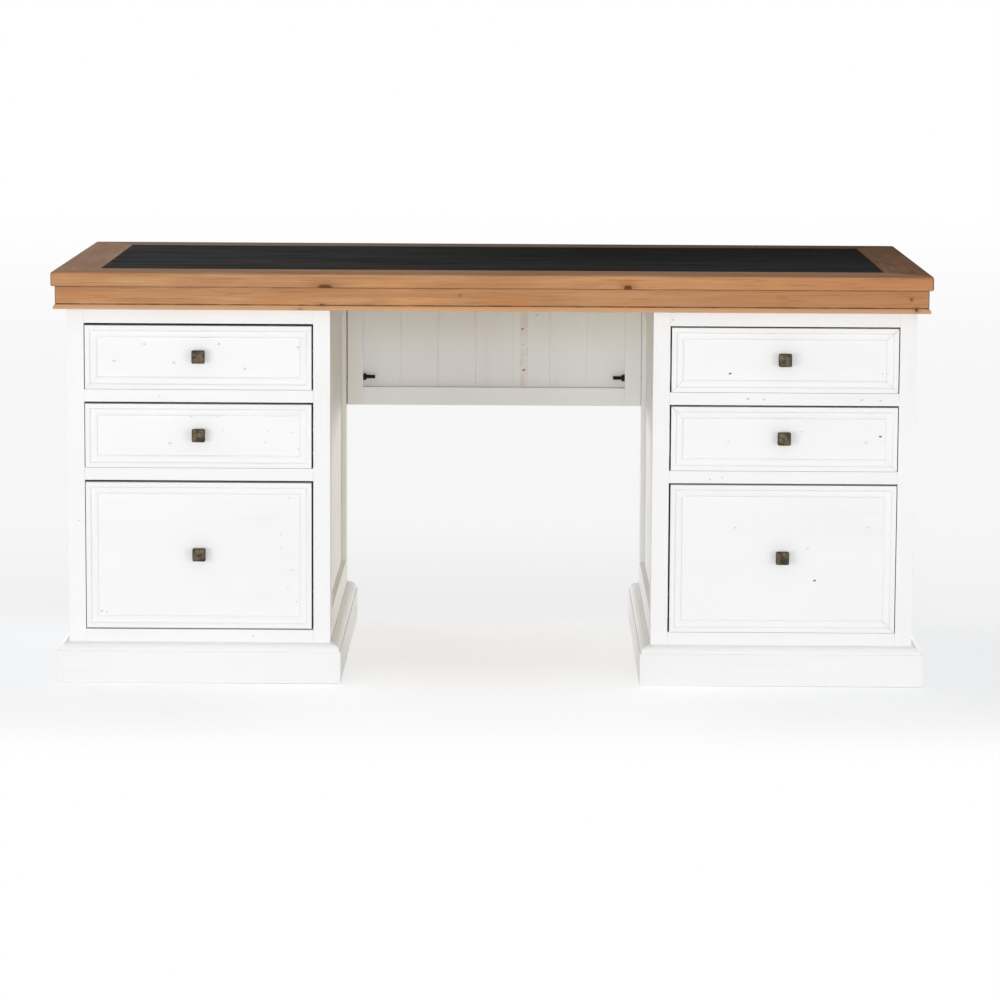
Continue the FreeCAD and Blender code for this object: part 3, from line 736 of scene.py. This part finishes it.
def brushed_paint(name, axis, worn=None, scuff=None):
    """Off-white paint brushed along the grain, rubbed a little thin, with a painted warm shade in
    the kneehole.

    worn is a strip up the face, from one X to another, where the paint has gone. scuff is the Y
    and Z of a rubbed place on a side.
    """
    finish = Finish(name, Specular_IOR_Level=0.25)
    space = finish.grain_space(axis)
    clouds = finish.noise(space, *PAINT_CLOUDS)
    strokes = finish.noise(space, *PAINT_STROKES)
    grain = finish.noise(space, *PAINT_GRAIN)
    tone = finish.mix(finish.rise(clouds, 0.3, 0.7), PAINT_CLEAN, PAINT_AGED)
    thin = finish.rise(grain * 0.55 + clouds * 0.45, 0.52, 0.7)
    tone = finish.mix(thin * 0.3, tone, PAINT_THIN)
    place = finish.place()
    x, y, z = finish.apart(place)
    # Painted warm shade in the kneehole, more at the left and under the top
    between = 1.0 - finish.rise(abs(x), *KNEEHOLE_HALF)
    before_back = 1.0 - finish.rise(y, *KNEEHOLE_BACK)
    kneehole = between * finish.rise(y, *KNEEHOLE_FRONT) * before_back
    at_left = 1.0 - finish.rise(x, *WARM_SHADE_LEFT)
    under_top = finish.rise(z, *WARM_SHADE_TOP) * WARM_SHADE_TOP_SHARE
    kneehole_warm_shade = kneehole * (at_left + (1.0 - at_left) * under_top)
    tone = finish.mix(kneehole_warm_shade, tone, PAINT_WARM_SHADE, "MULTIPLY")
    if worn:
        ragged = (finish.noise(place, *PAINT_RAGGED) - 0.5) * WORN_RAGGEDNESS
        middle, half = (worn[0] + worn[1]) / 2, (worn[1] - worn[0]) / 2
        edge = [half + shift for shift in WORN_EDGE]
        strip = before_back * (1.0 - finish.rise(abs(x + ragged - middle), *edge))
        flakes = finish.rise(finish.noise(place, *PAINT_FLAKES), 0.38, 0.58)
        tone = finish.mix(strip * (0.1 + 0.25 * flakes), tone, PAINT_WORN)
    if scuff:
        along, up = (y - scuff[0]) / SCUFF_LENGTH, (z - scuff[1]) / SCUFF_HEIGHT
        reach = (along ** 2.0 + up ** 2.0).root()
        rubbed = 1.0 - finish.rise(reach + strokes * 0.6, 0.7, 1.3)
        tone = finish.mix(rubbed * SCUFF_SHARE, tone, PAINT_WORN)
    return finish.surface(
        Base_Color=tone,
        Roughness=0.45 + 0.2 * strokes,
        Normal=finish.bump(strokes * 0.6 + grain * 0.4, 0.0004, 0.2),
    )


def waxed_pine(name, axis, tones, shade_lines=(), knots=(), pale_below=None, top_shade=None,
               warm=PINE_WARM, warmer_right=0.0, darker_behind=0.0, dark_ends=None, sheen=0.025):
    """Waxed pine: growth bands and streaks along the board, fibres and a broad drift of tone.

    shade_lines gives heights of painted shade lines in the creases, each with its half-width. knots
    are given by
    X, Z, half their length and height and their strength, all on the sitter's side. Wood below
    pale_below is rubbed. top_shade is the height from which the top faces get painted shade, greyed
    by painted sheen, with the tones and shares of that at the left and at the right. dark_ends is
    how far out and how low the arrises begin that get painted shade, at both ends of the desk.
    """
    finish = Finish(name, Specular_IOR_Level=sheen)
    space = finish.node(
        "ShaderNodeVectorMath", {"operation": "ADD"}, {0: finish.grain_space(axis), 1: GRAIN_START}
    )
    x, y, z = finish.apart(finish.place())
    drift = finish.noise(space, *PINE_DRIFT)
    hue = finish.noise(space, *PINE_HUES)
    bands = finish.noise(space, *PINE_BANDS)
    patches = finish.noise(space, *PINE_PATCHES)
    streaks = finish.rise(finish.noise(space, *PINE_STREAKS), 0.52, 0.7)
    fibres = finish.noise(space, *PINE_FIBRES)
    tone = finish.mix(finish.rise(bands * 0.55 + drift * 0.45, 0.36, 0.64), *tones)
    tone = finish.mix(finish.rise(hue, 0.45, 0.75) * 0.3, tone, PINE_ORANGE, "SOFT_LIGHT")
    tone = finish.mix(finish.rise(patches, 0.5, 0.72) * 0.35, tone, PINE_PINK)
    if warmer_right:
        tone = finish.mix(finish.rise(x, *WARM_RUN) * warmer_right, tone, warm)
    tone = finish.mix(streaks * 0.42 + finish.rise(fibres, 0.45, 0.75) * 0.2, tone, PINE_STREAK)
    # Painted shade: darker towards the back
    if darker_behind:
        tone = finish.mix(finish.rise(y, *DARK_RUN) * darker_behind, tone, PINE_SHADE_BROWN)
    if pale_below:
        rubbed = 1.0 - finish.rise(z, pale_below - TONE_EDGE, pale_below)
        tone = finish.mix(rubbed * 0.55, tone, PINE_RUBBED)
    # Painted shade on the top faces, greyed by painted sheen, changing from left to right
    if top_shade:
        height, left, left_share, right, right_share = top_shade
        rightwards = finish.rise(x, *TOP_SHADE_RUN)
        share = left_share + (right_share - left_share) * rightwards + 0.35 * (drift - 0.5)
        on_top_faces = finish.rise(z, height - TONE_EDGE, height + TONE_EDGE)
        tone = finish.mix(on_top_faces * share, tone, finish.mix(rightwards, left, right))
    # Painted shade on the arrises at the desk's ends, stronger at the right
    if dark_ends:
        start, lowest = dark_ends
        outwards = finish.rise(abs(x), start, start + ARRIS_FADE[0])
        arris = outwards * finish.rise(z, lowest, lowest + ARRIS_FADE[1])
        share = 0.5 + 0.4 * finish.rise(x, -0.1, 0.1)
        tone = finish.mix(arris * share, tone, PINE_ARRIS_SHADE)
    # Painted shade lines along the creases, made a little patchy
    for height, half in shade_lines:
        in_crease_shade = 1.0 - finish.rise(abs(z - height), half * 0.4, half)
        patchy = 0.55 + 0.45 * finish.rise(finish.noise(space, *PINE_SHADE_BREAKUP), 0.35, 0.6)
        tone = finish.mix(in_crease_shade * patchy * 0.7, tone, PINE_SHADE_BROWN)
    sitter_side = 1.0 - finish.rise(y, *SITTER_SIDE)
    for knot_x, knot_z, length, height, strength in knots:
        along, up = (x - knot_x) / length, (z - knot_z) / height
        reach = (along ** 2.0 + up ** 2.0).root() + (fibres - 0.5) * 0.5
        heart = 1.0 - finish.rise(reach, 0.55, 1.15)
        halo = 1.0 - finish.rise(reach, 0.8, 3.2)
        tone = finish.mix(halo * sitter_side * (0.35 * strength), tone, PINE_STREAK)
        tone = finish.mix(heart * sitter_side * (0.95 * strength), tone, PINE_KNOT)
    return finish.surface(
        Base_Color=tone,
        Roughness=0.5 + 0.2 * fibres,
        Normal=finish.bump(fibres * 0.6 + bands * 0.4, 0.0003, 0.3),
    )


def black_hide(name):
    """Matt black desk hide with a fine pebble and streaks along it, paler at the left from a
    painted sheen.
    """
    finish = Finish(name, Specular_IOR_Level=0.005)
    space = finish.grain_space(0)
    streaks = finish.noise(space, *HIDE_STREAKS)
    tints = finish.noise(space, *HIDE_TINTS)
    scuffs = finish.rise(finish.noise(space, *HIDE_SCUFFS), 0.5, 0.72)
    pebble = finish.node("ShaderNodeTexVoronoi", {}, {"Vector": space, "Scale": HIDE_PEBBLES})
    tone = finish.mix(finish.rise(tints, 0.35, 0.65), HIDE_WARM, HIDE_COOL)
    tone = finish.mix(finish.rise(streaks, 0.42, 0.62) * 0.45, tone, HIDE_DEEP)
    x, y = finish.apart(finish.place(), "XY")
    # Painted sheen: paler at the left, darker to the right and towards the back
    beyond_sheen = finish.rise(x, *SHEEN_FADE_RUN) * (0.6 + 0.4 * finish.rise(y, *SHEEN_FADE_BACK))
    tone = finish.mix(beyond_sheen, tone, HIDE_DEEP)
    tone = finish.mix(scuffs * 0.2, tone, HIDE_SCUFFED)
    return finish.surface(
        Base_Color=tone,
        Roughness=0.8 + 0.15 * streaks,
        Normal=finish.bump(pebble, 0.0003, 0.2),
    )


def aged_bronze(name):
    """Dark bronze, hammered and rubbed lighter in places."""
    finish = Finish(name, Metallic=1.0)
    space = finish.place()
    patches = finish.noise(space, *BRONZE_PATCHES)
    hammered = finish.noise(space, *BRONZE_HAMMERED)
    return finish.surface(
        Base_Color=finish.mix(finish.rise(patches, 0.35, 0.65), BRONZE_DARK, BRONZE_RUBBED),
        Roughness=0.38 + 0.25 * patches,
        Normal=finish.bump(hammered, 0.0006, 0.4),
    )


def plain_metal(name, tones, metallic, rough):
    """Metal that varies a little between two tones."""
    finish = Finish(name, Metallic=metallic)
    patches = finish.noise(finish.place(), *METAL_PATCHES)
    return finish.surface(Base_Color=finish.mix(patches, *tones), Roughness=rough + 0.2 * patches)


def plain_wood(name, axis, tones):
    """Plain sanded wood."""
    finish = Finish(name, Specular_IOR_Level=0.2)
    space = finish.grain_space(axis)
    rings = finish.noise(space, *WOOD_RINGS)
    fibres = finish.noise(space, *WOOD_FIBRES)
    return finish.surface(
        Base_Color=finish.mix(finish.rise(rings * 0.7 + fibres * 0.3, 0.3, 0.7), *tones),
        Roughness=0.6 + 0.2 * fibres,
        Normal=finish.bump(fibres, 0.0003, 0.2),
    )


slab_base, slab_top = (corner.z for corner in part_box("top_front_rail"))
slab_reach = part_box("top_front_rail")[1].x
top_shade_height = slab_top - TOP_SHADE_DEPTH
slab_knots = [(x, slab_base + rise, *size) for x, rise, *size in SLAB_KNOTS]
front_arris = (slab_reach - FRONT_DARK_ARRIS, 0)
end_arris = (slab_reach - END_DARK_ARRIS, top_shade_height)
apron_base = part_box("apron_front")[0].z
fascia_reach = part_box("apron_front")[1].x - APRON_FASCIA_SETBACK
bead_line = apron_base + BEAD_HEIGHT
# Heights of the painted shade lines: under the slab, and in the quirk above the bead
apron_shade_lines = ((slab_base, SLAB_SHADE_LINE), (bead_line + BEAD_QUIRK / 2, BEAD_SHADE_LINE))

paint = [brushed_paint(f"white_paint_{letter}", axis) for axis, letter in enumerate("xyz")]
worn_paint = brushed_paint("white_paint_worn", 2, WORN_STRIP)
scuffed_paint = brushed_paint("white_paint_scuffed", 1, scuff=PLINTH_SCUFF)
sanded = [
    plain_wood(f"drawer_wood_{letter}", axis, DRAWER_WOOD) for axis, letter in enumerate("xyz")
]
bare = plain_wood("bare_wood", 0, BARE_WOOD)
chipped = plain_wood("chipped_paint", 0, PAINT_CHIPPED)
ding_finishes = (chipped, bare)
# The front rail's top faces get painted shade, more towards the right
top_pine_long = waxed_pine(
    "top_pine_long", 0, PINE, knots=slab_knots,
    top_shade=(top_shade_height, PINE_TOP_SHADE, 0.42, PINE_TOP_SHADE, 0.66),
    warmer_right=0.65, dark_ends=front_arris,
)
# The back rail's top: greyish painted sheen at the left, painted shade at the right
top_pine_back = waxed_pine(
    "top_pine_back", 0, PINE, top_shade=(top_shade_height, PINE_GREY_SHEEN, 0.95, PINE_SHADE_BROWN, 0.95),
    dark_ends=front_arris, sheen=0.008,
)
top_pine_left = waxed_pine("top_pine_left_end", 1, PINE_LEFT_SHEEN, dark_ends=end_arris)
top_pine_right = waxed_pine(
    "top_pine_right_end", 1, PINE_RIGHT, darker_behind=0.6, dark_ends=end_arris, sheen=0.006
)
# The apron: painted shade lines in its creases and on the fascia's end arrises
apron_pine_long = waxed_pine(
    "apron_pine_long", 0, PINE, apron_shade_lines, APRON_KNOTS, bead_line,
    warm=PINE_FADED, warmer_right=0.75, dark_ends=(fascia_reach - FRONT_DARK_ARRIS, bead_line),
)
apron_pine_end = waxed_pine("apron_pine_end", 1, PINE, apron_shade_lines, (), bead_line)
hide = black_hide("black_hide")
bronze = aged_bronze("aged_bronze")
black_steel = plain_metal("black_steel", BLACK_STEEL, 0.6, 0.4)
zinc = plain_metal("zinc_steel", ZINC, 1.0, 0.28)


# Pieces

def make_top():
    low, front_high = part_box("top_front_rail")
    _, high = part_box("top_back_rail")
    board_width = front_high.y - low.y
    profile = (
        arc((SLAB_LOWER_RADIUS, low.z + SLAB_LOWER_RADIUS), SLAB_LOWER_RADIUS, 270, 180)
        + arc((SLAB_UPPER_RADIUS, high.z - SLAB_UPPER_RADIUS), SLAB_UPPER_RADIUS, 180, 90)
        + [(board_width, high.z), (board_width, low.z)]
    )
    ring = moulded_ring("top_frame_waxed", low, high, profile)
    number_runs(ring, low, high)

    def near_corner(corner):
        across = min(corner.co.x - low.x, high.x - corner.co.x)
        back = min(corner.co.y - low.y, high.y - corner.co.y)
        return max(across, back) < SLAB_UPPER_RADIUS

    def at_corner(edge):
        return is_sharp(edge) and all(map(near_corner, edge.verts))

    ease(ring, SLAB_CORNER_RADIUS, at_corner, SLAB_CORNER_STEPS)
    ease(ring, EASED_EDGE)
    dress(
        ring, "desk", (top_pine_long, top_pine_right, top_pine_back, top_pine_left),
        ("top_front_rail", "top_right_end", "top_back_rail", "top_left_end"),
    )
    inset = eased_boards("top_inset_hide", "top_inset", INSET_EDGE)
    dress(inset, "desk", [hide] * 3, ["top_inset"])
    core = eased_boards("top_core_sanded", "top_core")
    dress(core, "desk", sanded, ["top_core"])


def make_apron():
    low, front_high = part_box("apron_front")
    _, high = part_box("apron_back")
    thickness = front_high.y - low.y
    bead_top = low.z + BEAD_HEIGHT
    profile = (
        [(0, low.z)]
        + [(inset, low.z + height) for inset, height in BEAD_FLARE]
        + [
            (APRON_FASCIA_SETBACK, bead_top),
            (APRON_FASCIA_SETBACK + BEAD_QUIRK, bead_top),
            (APRON_FASCIA_SETBACK, bead_top + BEAD_QUIRK),
            (APRON_FASCIA_SETBACK, high.z),
            (thickness, high.z),
            (thickness, low.z),
        ]
    )
    ring = moulded_ring("apron_waxed", low, high, profile)
    number_runs(ring, low, high)
    ease(ring, EASED_EDGE)
    dress(
        ring, "desk", (apron_pine_long, apron_pine_end, apron_pine_long, apron_pine_end),
        ("apron_front", "apron_right", "apron_back", "apron_left"),
    )


def make_plinths():
    low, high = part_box("left_plinth")
    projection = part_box("left_face_frame")[0].x - low.x
    shoulder = high.z - PLINTH_FILLET_HEIGHT
    fillet = projection - PLINTH_FILLET_WIDTH
    radius = fillet - PLINTH_STEP
    profile = (
        [(PLINTH_FOOT, low.z), (0, low.z + PLINTH_FOOT), (0, shoulder - radius)]
        + arc((fillet, shoulder - radius), radius, 180, 90)
        + [(fillet, high.z), (projection, high.z), (projection, low.z)]
    )
    left = moulded_ring("left_plinth_painted", low, high, profile)
    number_runs(left, low, high)

    def on_moulding(edge):
        return is_sharp(edge) and max(corner.co.z for corner in edge.verts) > shoulder - radius

    ease(left, EASED_EDGE, on_moulding)
    right = copied(left, "right_plinth_painted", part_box("right_plinth")[0] - low)
    left_finishes = (paint[0], scuffed_paint, paint[0], paint[1])
    dress(left, "desk", left_finishes, ["left_plinth"])
    right_finishes = (paint[0], paint[1], paint[0], paint[1])
    dress(right, "desk", right_finishes, ["right_plinth"])


def mitre_saws(drawer, low, high):
    """Thin blades on the diagonals of the corners where the joint has opened."""
    saws = []
    for right in (False, True):
        for upper in (False, True):
            corner = Vector((high.x if right else low.x, 0, high.z if upper else low.z))
            inwards = Vector((-1 if right else 1, 0, -1 if upper else 1))
            name = ("upper" if upper else "lower") + ("_right" if right else "_left")
            if name not in OPENED_MITRES.get(drawer, ()):
                continue
            middle = corner + inwards * MOULDING_WIDTH / 2
            middle.y = (low.y + high.y) / 2
            reach = Vector((MOULDING_WIDTH, high.y - low.y, OPEN_MITRE / 2))
            saw = block("mitre_saw", -reach, reach)
            saw.rotation_euler.y = math.radians(-45 if right == upper else 45)
            saw.location = middle
            settle(saw)
            saws.append(saw)
    return saws


def fitted(drawer, low, high):
    """Two corners of a drawer front's piece, moved to how the front sits in its opening."""
    across, lower, upper = (shift * MM for shift in DRAWER_FIT[drawer])
    return low + Vector((across, 0, lower)), high + Vector((across, 0, upper))


def make_moulding(drawer):
    node = f"{drawer}_moulding"
    low, high = fitted(drawer, *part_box(node))
    height = high.y - low.y
    ledge = height - MOULDING_COVE
    profile = (
        [(0, 0), (0, height), (MOULDING_FLAT, height)]
        + arc((MOULDING_FLAT + MOULDING_COVE, height), MOULDING_COVE, 180, 270)
        + [
            (MOULDING_WIDTH - MOULDING_ROUND_WIDTH * (1 - along), ledge * up)
            for along, up in arc((0, 0), 1, 90, 0)
        ]
    )
    flat_low, flat_high = (low.x, low.z), (high.x, high.z)
    ring = moulded_ring(f"{node}_painted", flat_low, flat_high, profile)
    number_runs(ring, flat_low, flat_high)
    ring.rotation_euler.x = math.pi / 2
    ring.location.y = high.y
    settle(ring)

    def before_panel(edge):
        return is_sharp(edge) and min(corner.co.y for corner in edge.verts) < high.y - WELD

    ease(ring, MOULDING_EASE, before_panel)
    finishes = (paint[0], paint[2], paint[0], paint[2])
    dress(ring, drawer, finishes, [node], mitre_saws(drawer, low, high), [bare])


def cast_knob(name, low, high):
    """A pillow of cast bronze on a turned stem."""
    head_back = low.y + KNOB_HEAD_DEPTH
    head = block(name, low, (high.x, head_back, high.z))
    ease(head, KNOB_ROUND, steps=KNOB_ROUND_STEPS)
    open_mesh(head)
    for thickness, rise in KNOB_CROWN:
        select(head, "faces", lambda face: face.normal.y < -SQUARE_ON)
        bpy.ops.mesh.inset(thickness=thickness, depth=rise)
    select(head, "faces", lambda face: max(abs(face.normal.x), abs(face.normal.z)) > SQUARE_ON)
    bpy.ops.mesh.inset(thickness=KNOB_SIDE_INSET, depth=KNOB_SIDE_SWELL, use_individual=True)
    close_mesh()
    stem = turned("stem", KNOB_STEM + [(KNOB_NECK, high.y - head_back + KNOB_OVERLAP)])
    stem.rotation_euler.x = math.pi / 2
    stem.location = ((low.x + high.x) / 2, high.y, (low.z + high.z) / 2)
    settle(stem)
    return join([head, stem])


def make_knobs():
    low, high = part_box(f"{DRAWERS[0]}_knob")
    first = cast_knob(f"{DRAWERS[0]}_knob_cast", low, high)
    others = [
        copied(first, f"{drawer}_knob_cast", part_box(f"{drawer}_knob")[0] - low)
        for drawer in DRAWERS[1:]
    ]
    for drawer, knob in zip(DRAWERS, [first] + others):
        dress(knob, drawer, [bronze], [f"{drawer}_knob"])


def fit_front(front, drawer, middle):
    """Move a drawer front's lower and upper edge to how it sits in its opening."""
    lower, upper = fitted(drawer, Vector(), Vector())
    open_mesh(front)
    select(front, "verts", lambda corner: corner.co.z < middle)
    bpy.ops.transform.translate(value=lower)
    select(front, "verts", lambda corner: corner.co.z > middle)
    bpy.ops.transform.translate(value=upper)
    close_mesh()
    return front


def make_painted_boards():
    for side in SIDES:
        for piece in ("outer_side_frame", "inner_side_frame", "side_panels", "back"):
            node = f"{side}_{piece}"
            dress(eased_boards(f"{node}_painted", node), "desk", paint, [node])
        node = f"{side}_face_frame"
        marks = dings(FRAME_DINGS[side], (0, 0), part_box(node)[0].y)
        boards = eased_boards(f"{node}_painted", node)
        dress(boards, "desk", paint, [node], marks, ding_finishes)
    for drawer in DRAWERS:
        node = f"{drawer}_front"
        low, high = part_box(node)
        middle = ((low.x + high.x) / 2, (low.z + high.z) / 2)
        marks = dings(DRAWER_DINGS[drawer], middle, low.y)
        front = fit_front(eased_boards(f"{node}_painted", node), drawer, middle[1])
        dress(front, drawer, paint, [node], marks, ding_finishes)


def make_modesty_panel():
    low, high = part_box("modesty_frame")
    gaps = ((low.x - GAP_DEPTH, low.x + LEFT_GAP), (high.x - RIGHT_GAP, high.x + GAP_DEPTH))
    shadow_gaps = [
        block("gap", (start, low.y - GAP_DEPTH, low.z - GAP_DEPTH),
              (end, low.y + GAP_DEPTH, high.z + GAP_DEPTH))
        for start, end in gaps
    ]
    frame_boards = eased_boards("modesty_frame_painted", "modesty_frame")
    dress(frame_boards, "desk", paint, ["modesty_frame"], shadow_gaps, [bare])
    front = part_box("modesty_planks")[0].y
    marks = dings(PLANK_DINGS, (0, 0), front)
    planks = eased_boards(
        "modesty_planks_painted", "modesty_planks", PLANK_EDGE,
        lambda edge: all(corner.co.y < front + WELD for corner in edge.verts),
    )
    finishes = (paint[0], paint[1], worn_paint)
    dress(planks, "desk", finishes, ["modesty_planks"], marks, ding_finishes)


def thread(radius, length):
    """The outline of a stud: ends as thin as the thread's root, and a ridge to every pitch."""
    root = radius - THREAD_DEPTH
    outline = [(root, 0)]
    for ridge in range(int(length / THREAD_PITCH) - 1):
        start = THREAD_PITCH * (ridge + THREAD_START)
        for share, reach in zip(THREAD_RIDGE, (root, radius, radius, root)):
            outline.append((reach, start + THREAD_PITCH * share))
    return outline + [(root, length)]


def make_bolts():
    """Threaded studs and chamfered nuts on the places of the CAD ones."""
    mesh = frame["nodes"]["modesty_bolts"].data
    numbers = number_solids(mesh)
    patterns = {}
    pieces = []
    for solid in range(max(numbers) + 1):
        faces = [face for face, number in zip(mesh.polygons, numbers) if number == solid]
        corners = [mesh.vertices[index].co for face in faces for index in face.vertices]
        low = Vector([min(corner[axis] for corner in corners) for axis in range(3)])
        high = Vector([max(corner[axis] for corner in corners) for axis in range(3)])
        length = high.x - low.x
        radius = max(high.y - low.y, high.z - low.z) / 2
        size = (round(radius, SIZE_PLACES), round(length, SIZE_PLACES))
        if size not in patterns and length > LONGEST_NUT:
            patterns[size] = turned("stud", thread(radius, length))
        elif size not in patterns:
            chamfered = radius * NUT_CHAMFER
            patterns[size] = turned("nut", [
                (chamfered, 0), (radius, radius - chamfered),
                (radius, length - radius + chamfered), (chamfered, length),
            ], NUT_SIDES)
        # Each is turned along Z from its wall end to its free end, then laid towards the middle.
        towards_left = low.x > 0
        wall = (high.x if towards_left else low.x, (low.y + high.y) / 2, (low.z + high.z) / 2)
        laid = (0, -math.pi / 2 if towards_left else math.pi / 2, 0)
        pieces.append(copied(patterns[size], "bolt", wall, laid))
    for pattern in patterns.values():
        pick(pattern)
        bpy.ops.object.delete()
    bolts = join(pieces)
    bolts.name = "modesty_bolts_blackened"
    dress(bolts, "desk", [black_steel], ["modesty_bolts"])


def make_plain_boards():
    for node in ("slide_battens", "left_floor_board", "right_floor_board"):
        dress(eased_boards(f"{node}_sanded", node), "desk", sanded, [node])
    for drawer in DRAWERS:
        node = f"{drawer}_box"
        dress(eased_boards(f"{node}_sanded", node), drawer, sanded, [node])


def finish_slides():
    for node in ["slide_channels"] + [f"{drawer}_slides" for drawer in DRAWERS]:
        frame["nodes"][node].material_slots[0].material = zinc


make_top()
make_apron()
make_plinths()
for drawer in DRAWERS:
    make_moulding(drawer)
make_knobs()
make_painted_boards()
make_modesty_panel()
make_bolts()
make_plain_boards()
finish_slides()


# Floor, light and camera

FLOOR_COLOUR = colour(0.79, 0.803, 0.82)
FLOOR_SPAN = 60.0
# Glows of the floor near the desk: lower at the right, a painted shadow beside the right pedestal;
# higher in the middle, painted light in front of the kneehole
FLOOR_GLOW_LEFT = 0.355
FLOOR_GLOW_RIGHT = 0.315
FLOOR_GLOW_MIDDLE = 0.47
FLOOR_SHADE = 0.845
FLOOR_PALE = 0.925
FLOOR_FRONT_FADE = (0.25, 1.1)
FLOOR_BACK_FADE = (0.15, 0.5)
FLOOR_SHADE_FADE = (0.3, 2.0)
FLOOR_FAR_FADE = (3.5, 14.0)
FLOOR_MIDDLE_FADE = (0.2, 0.6)
FLOOR_MIDDLE_BACK = (-0.45, -0.1)
FLOOR_MIDDLE_LOSS = 0.6
FLOOR_RIGHT_FADE = (0.5, 0.9)
FLOOR_BESIDE_FADE = (0.6, 1.0)
FLOOR_BESIDE_SHARE = 0.5
AMBIENT = 0.55
# Lamps: place, what they look at, width and height, and power in watts
SOFTBOXES = {
    "front_softbox": ((0, -8.4, 1.2), (0, 0, 0.45), (3.0, 1.8), 140),
    "left_softbox": ((-2.6, -4.6, 0.6), (0, 0, 0.35), (2.0, 1.1), 51),
    "right_softbox": ((2.6, -4.6, 0.6), (0, 0, 0.35), (2.0, 1.1), 33.5),
    "low_left_softbox": ((-2.6, 3.2, 0.45), (0, 0, 0.3), (1.6, 0.7), 53),
    "low_right_softbox": ((2.6, 3.2, 0.45), (0, 0, 0.3), (1.6, 0.7), 45),
}
CAMERA_PLACE = (0.0492, -7.5896, 1.3263)
CAMERA_TURN = (82.248, -0.301, 0.299)
CAMERA_SENSOR = 36.0
CAMERA_LENS = 142.42


def seen_directly(shader):
    """1 for rays that show the surroundings themselves, 0 for those that light the desk."""
    camera, glossy, through = (
        shader.node("ShaderNodeLightPath", output=ray)
        for ray in ("Is Camera Ray", "Is Glossy Ray", "Is Transmission Ray")
    )
    together = camera + glossy + through
    return together.math("MINIMUM", together, 1.0)


def make_floor():
    """A pale floor that shows the desk's shadow, with painted shade and light in its glow near the
    desk, and turns to plain white away from it.
    """
    bpy.ops.object.select_all(action="DESELECT")
    bpy.ops.mesh.primitive_plane_add(size=FLOOR_SPAN)
    floor = bpy.context.object
    floor.name = "floor"
    finish = Finish("pale_floor", Roughness=1.0, Specular_IOR_Level=0.0)
    finish.surface(Base_Color=FLOOR_COLOUR)
    matt = Socket(finish, finish.shader.outputs[0])

    def glow(strength):
        return finish.node("ShaderNodeEmission", {}, {"Strength": strength})

    def blend(share, first, second):
        return finish.node("ShaderNodeMixShader", {}, {0: share, 1: first, 2: second})

    across, back = finish.apart(finish.place(), "XY")
    before = finish.rise(-1.0 * back, *FLOOR_FRONT_FADE)
    near = (1.0 - before) * (1.0 - finish.rise(back, *FLOOR_BACK_FADE))
    # Painted light and shade in the glow: brighter in front of the kneehole, dimmer inside it and
    # to the right
    middle = 1.0 - finish.rise(abs(across), *FLOOR_MIDDLE_FADE)
    middle = middle * (1.0 - FLOOR_MIDDLE_LOSS * finish.rise(back, *FLOOR_MIDDLE_BACK))
    rightwards = finish.rise(across, *FLOOR_RIGHT_FADE)
    beside_middle = blend(rightwards, glow(FLOOR_GLOW_LEFT), glow(FLOOR_GLOW_RIGHT))
    lit = blend(middle, beside_middle, glow(FLOOR_GLOW_MIDDLE))
    shadowed = finish.node("ShaderNodeAddShader", {}, {0: matt, 1: lit})
    whiteness = before + finish.rise(back, *FLOOR_FAR_FADE)
    # Painted shade on the open floor close behind the desk, paler further back and beside it
    beside = finish.rise(abs(across), *FLOOR_BESIDE_FADE) * FLOOR_BESIDE_SHARE
    behind = 1.0 - (1.0 - finish.rise(back, *FLOOR_SHADE_FADE)) * (1.0 - beside)
    shaded = blend(behind, glow(FLOOR_SHADE), glow(FLOOR_PALE))
    open_floor = blend(whiteness, shaded, glow(1.0))
    shown = blend(near, open_floor, shadowed)
    look = blend(seen_directly(finish), matt, shown)
    finish.feed(finish.tree.nodes["Material Output"].inputs["Surface"], look)
    floor.data.materials.append(finish.material)


def make_surroundings():
    """Plain white surroundings that light the desk evenly from all round."""
    scene.world = bpy.data.worlds.new("studio")
    shader = Shader(scene.world)
    seen = seen_directly(shader)
    backdrop = shader.tree.nodes["Background"]
    backdrop.inputs["Color"].default_value = colour(1, 1, 1)
    shader.feed(backdrop.inputs["Strength"], seen + (1.0 - seen) * AMBIENT)


def softbox(name, place, aim, size, power):
    bpy.ops.object.select_all(action="DESELECT")
    bpy.ops.object.light_add(type="AREA", location=place)
    lamp = bpy.context.object
    lamp.name = name
    lamp.data.shape = "RECTANGLE"
    lamp.data.size, lamp.data.size_y = size
    lamp.data.energy = power
    lamp.rotation_euler = (Vector(aim) - Vector(place)).to_track_quat("-Z", "Y").to_euler()


def make_camera():
    bpy.ops.object.select_all(action="DESELECT")
    bpy.ops.object.camera_add(location=CAMERA_PLACE)
    camera = bpy.context.object
    camera.rotation_euler = [math.radians(angle) for angle in CAMERA_TURN]
    camera.data.sensor_width = CAMERA_SENSOR
    camera.data.lens = CAMERA_LENS
    scene.camera = camera


make_floor()
make_surroundings()
for name, settings in SOFTBOXES.items():
    softbox(name, *settings)
make_camera()
scene.view_settings.view_transform = "Standard"
